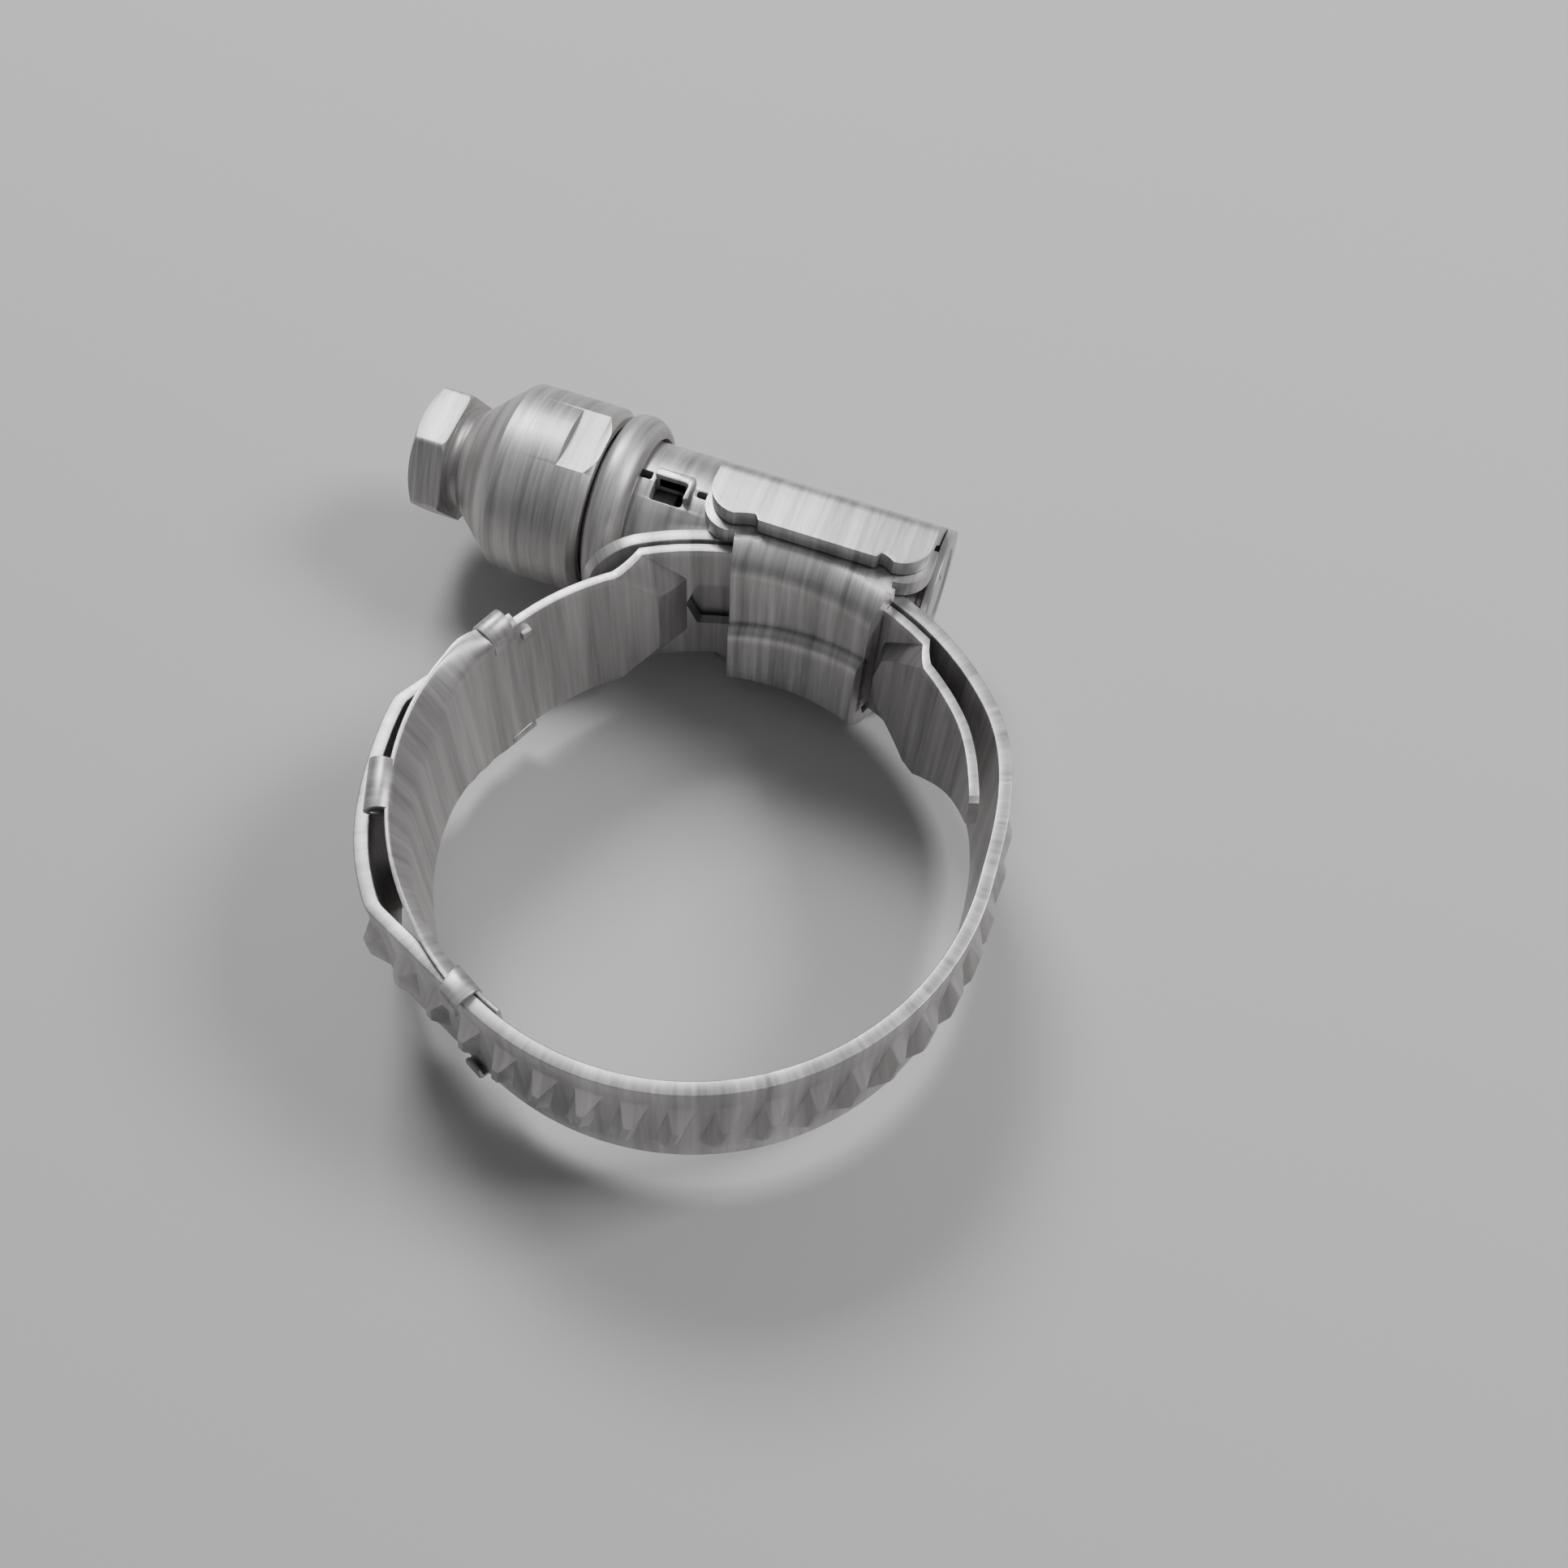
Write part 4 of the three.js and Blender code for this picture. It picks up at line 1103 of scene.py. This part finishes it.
def saddle():
    for name, side, depth, bend, reach, round_end in (
        ("near", 1, FLAP_SHEET, NEAR_BEND, near_reach, 0.0),
        ("far", -1, FLAP_SHEET + FLAP_STEP, FAR_BEND, far_reach, FLAP_STEP),
    ):
        made = flap(f"saddle_{name}", side, depth, bend, reach, round_end)
        combine(made, saddle_wall(side), "UNION")
        eased(made, 0.15, angle=50, segments=3)
        finish_piece(made, HOUSING, "housing_body", "saddle")


# ---- the screw -----------------------------------------------------------------------------
def hex_head():
    corners = [(SCREW_HEIGHT + HEX_RADIUS * math.cos(a), HEX_RADIUS * math.sin(a))
               for a in (i * math.pi / 3 for i in range(6))]
    made = prism("hex_head", filleted(corners, 0.25), along_x, (HEX_FRONT - 1, HEX_BACK))
    dome = turned_solid(
        "dome",
        [(HEX_FRONT, 0), (HEX_FRONT, 4.3), (HEX_FRONT + 0.1, 4.76), (HEX_FRONT + 0.65, 5.7),
         (HEX_BACK - 0.4, 5.7), (HEX_BACK, 5.2), (HEX_BACK, 0)],
        fillet=0.12,
    )
    combine(made, dome, "INTERSECT")
    eased(made, 0.1, angle=25)
    return finish_piece(made, SCREW, "screw_body", "screw")


def worm_radius(x, angle):
    along = x - LEAD * (angle - math.pi) / (2 * math.pi) - (LEAD / 2 - 0.15)
    away = abs(along / LEAD - round(along / LEAD)) * LEAD
    rise = clamp01((0.9 - away) / 0.6)
    run_out = clamp01((x - WORM_LEFT) / 0.9) * clamp01((WORM_RIGHT - x) / 0.9)
    return WORM_ROOT + (WORM_RADIUS - WORM_ROOT) * rise * run_out


SHANK_END = -7.2  # where the shank has narrowed to the worm's root


def screw():
    hex_head()
    shank = turned_solid(
        "screw_shank",
        [(HEX_BACK - 0.5, 0), (HEX_BACK - 0.5, 4.5), (HEX_BACK, 4.5), (HEX_BACK + 0.15, 4.05),
         (HEX_BACK + 0.45, 3.8), (CUP_LEFT - 0.12, 3.75), (CUP_LEFT - 0.12, SHANK_RADIUS),
         (SHANK_END - 0.4, SHANK_RADIUS), (SHANK_END, WORM_ROOT), (SHANK_END, 0)],
    )
    finish_piece(shank, SCREW, "screw_body", "screw")
    turns = [2 * math.pi * i / 48 for i in range(48)]
    loops = []
    for x in spread(WORM_LEFT - 0.6, WORM_RIGHT + 0.6, 0.12):
        inside = WORM_LEFT < x < WORM_RIGHT
        loops.append([about_screw(x, worm_radius(x, a) if inside else WORM_ROOT, a) for a in turns])
    worm = loft("screw_worm", loops)
    finish_piece(worm, SCREW, "screw_body", "screw")
    tip = turned_solid("screw_tip", [(8.8, 0), (8.8, 2.1), (9.9, 2.1), (10.1, 1.8), (10.1, 0)])
    finish_piece(tip, SCREW, "screw_body", "screw")


# ---- the spring tensioner ------------------------------------------------------------------
FLAT_SHARE = math.cos(math.radians(22.5))  # a wrench flat's depth, as a share of the cup's radius
FLAT_LEFT = -19.85
CONE_RIGHT = -24.75
CONE_STEPS = 12
CONE_STEP_DEPTH = 0.014
CUP_BORE = 6.45
COLLAR_END = -13.8  # the collar's rolled right end
SPRINGS_LEFT = -24.8


def spring_cup():
    # The cone keeps the fine steps of its turning.
    cone = []
    for i in range(CONE_STEPS):
        for t, depth in ((i, 0.0), (i + 0.85, CONE_STEP_DEPTH)):
            share = t / CONE_STEPS
            cone.append((lerp(CUP_LEFT, CONE_RIGHT, share) + depth, lerp(4.2, 7.45, share) - depth))
    made = turned(
        "spring_cup_shell",
        [(CUP_LEFT, 3.3)] + cone
        + [(-24.5, CUP_RADIUS), (-17.65, CUP_RADIUS), (CUP_RIGHT, 7.1), (CUP_RIGHT, CUP_BORE),
           (-25.0, CUP_BORE), (-25.9, 5.6), (-26.4, 3.3)],
        segments=128, fillet=0.06,
    )
    flat = CUP_RADIUS * FLAT_SHARE
    for side in (1, -1):
        cutter = box(
            "flat", FLAT_LEFT, CUP_RIGHT + 1, SCREW_HEIGHT - 9, SCREW_HEIGHT + 9, side * flat, side * 9
        )
        combine(made, cutter, "DIFFERENCE")
    eased(made, 0.08, angle=18)
    finish_piece(made, CUP, "cup_body", "spring_cup")


def spring_collar():
    made = turned(
        "spring_collar_ring",
        [(CUP_RIGHT - 0.1, 3.35), (CUP_RIGHT - 0.1, 6.25), (COLLAR_LEFT, 6.25), (COLLAR_LEFT, 7.2),
         (COLLAR_LEFT + 0.45, 7.58), (-15.5, 7.65), (-14.9, 7.55), (-14.3, 7.25), (-13.95, 6.85),
         (COLLAR_END, 6.45), (COLLAR_END, 6.2), (TUBE_LEFT - 0.3, 6.2), (TUBE_LEFT - 0.3, 3.35)],
        segments=128, fillet=0.4,
    )
    finish_piece(made, CUP, "housing_body", "spring_collar")


def hidden_parts():
    """The washer, bushing and disc springs inside the tensioner. Their near-black tone is painted shade."""
    washer = turned(
        "thrust_washer_ring", [(-25.65, 3.4), (-25.65, 5.3), (-24.95, 5.9), (-24.95, 3.4)],
        fillet=0.1,
    )
    finish_piece(washer, SPRING_IN_PAINTED_SHADE, "cup_body", "thrust_washer")
    bushing = turned(
        "shank_bushing_ring", [(-14.2, 3.2), (-14.2, 4.35), (-10.9, 4.35), (-10.9, 3.2)], fillet=0.15
    )
    finish_piece(bushing, SPRING_IN_PAINTED_SHADE, "housing_body", "shank_bushing")
    pitch = (CUP_RIGHT - 0.2 - SPRINGS_LEFT) / DISC_COUNT
    thickness, rise = 0.52, 0.28
    for i in range(DISC_COUNT):
        left = SPRINGS_LEFT + i * pitch
        inside, outside = (rise, 0) if i % 2 else (0, rise)
        disc = turned(
            f"disc_spring_ring_{i + 1}",
            [(left + inside, 3.3), (left + outside, 6.15), (left + outside + thickness, 6.15),
             (left + inside + thickness, 3.3)],
            fillet=0.12,
        )
        finish_piece(disc, SPRING_IN_PAINTED_SHADE, f"disc_body_{i + 1}", f"disc_spring_{i + 1}")


# ---- the stage -----------------------------------------------------------------------------
FLOOR_TONE = (0.48, 0.475, 0.47, 1)
LIGHT_DISTANCE = 0.45
LIGHT_SIZE = 0.15
CAMERA_ANGLES = (14.11, 62.09, 5.6)  # azimuth, elevation and roll, in degrees
CAMERA_PLACE = Vector((17.81, -46.95, 104.22))  # in the clamp's frame
CAMERA_LENS = 37.05


def floor():
    half = 1.5
    mesh = bpy.data.meshes.new("floor")
    level = cad_low.z - 0.2 * MM
    mesh.from_pydata(
        [(-half, -half, level), (half, -half, level), (half, half, level), (-half, half, level)],
        [], [(0, 1, 2, 3)],
    )
    made = bpy.data.objects.new("floor", mesh)
    bpy.context.scene.collection.objects.link(made)
    material = bpy.data.materials.new("floor_paint")
    material.use_nodes = True
    shader = material.node_tree.nodes["Principled BSDF"]
    shader.inputs["Base Color"].default_value = FLOOR_TONE
    shader.inputs["Roughness"].default_value = 0.85
    mesh.materials.append(material)


def area_light(name, direction, watts):
    """A soft square light that looks at the object."""
    data = bpy.data.lights.new(name, "AREA")
    data.shape = "SQUARE"
    data.size = LIGHT_SIZE
    data.energy = watts
    made = bpy.data.objects.new(name, data)
    bpy.context.scene.collection.objects.link(made)
    way = Vector(direction).normalized()
    made.location = (cad_low + cad_high) / 2 + way * LIGHT_DISTANCE
    made.rotation_euler = way.to_track_quat("Z", "Y").to_euler()


def sky():
    """Studio walls: grey at the horizon and pale overhead."""
    world = bpy.data.worlds.new("studio")
    bpy.context.scene.world = world
    world.use_nodes = True
    nodes = world.node_tree.nodes
    links = world.node_tree.links
    place = nodes.new("ShaderNodeTexCoord")
    split = nodes.new("ShaderNodeSeparateXYZ")
    links.new(place.outputs["Generated"], split.inputs["Vector"])
    shade = nodes.new("ShaderNodeValToRGB")
    shade.color_ramp.elements[0].position = 0.1
    shade.color_ramp.elements[0].color = (0.30, 0.30, 0.305, 1)
    shade.color_ramp.elements[1].position = 0.95
    shade.color_ramp.elements[1].color = (0.93, 0.95, 1.0, 1)
    links.new(split.outputs["Z"], shade.inputs["Fac"])
    links.new(shade.outputs["Color"], nodes["Background"].inputs["Color"])
    nodes["Background"].inputs["Strength"].default_value = 0.3


def studio():
    floor()
    area_light("key", (-0.42, 0.55, 0.85), 1.7)
    area_light("fill", (0.62, 0.32, 0.75), 1.35)
    sky()


def camera():
    """A pinhole camera placed by its azimuth, elevation and roll."""
    azimuth, elevation, roll = (math.radians(a) for a in CAMERA_ANGLES)
    back = Vector((
        math.sin(azimuth) * math.cos(elevation),
        -math.cos(azimuth) * math.cos(elevation),
        math.sin(elevation),
    ))
    level = Vector((math.cos(azimuth), math.sin(azimuth), 0))
    right = level * math.cos(roll) + back.cross(level) * math.sin(roll)
    up = back.cross(right)
    data = bpy.data.cameras.new("camera")
    data.sensor_width = 36
    data.lens = CAMERA_LENS
    data.clip_start = 0.005
    data.clip_end = 10
    made = bpy.data.objects.new("camera", data)
    bpy.context.scene.collection.objects.link(made)
    place = Matrix((right, up, back)).transposed().to_4x4()
    place.translation = (CAMERA_PLACE + OFFSET) * MM
    made.matrix_world = place
    bpy.context.scene.camera = made


band()
liner()
housing_wings()
housing_tube()
housing_end()
saddle()
screw()
spring_cup()
spring_collar()
hidden_parts()
studio()
camera()
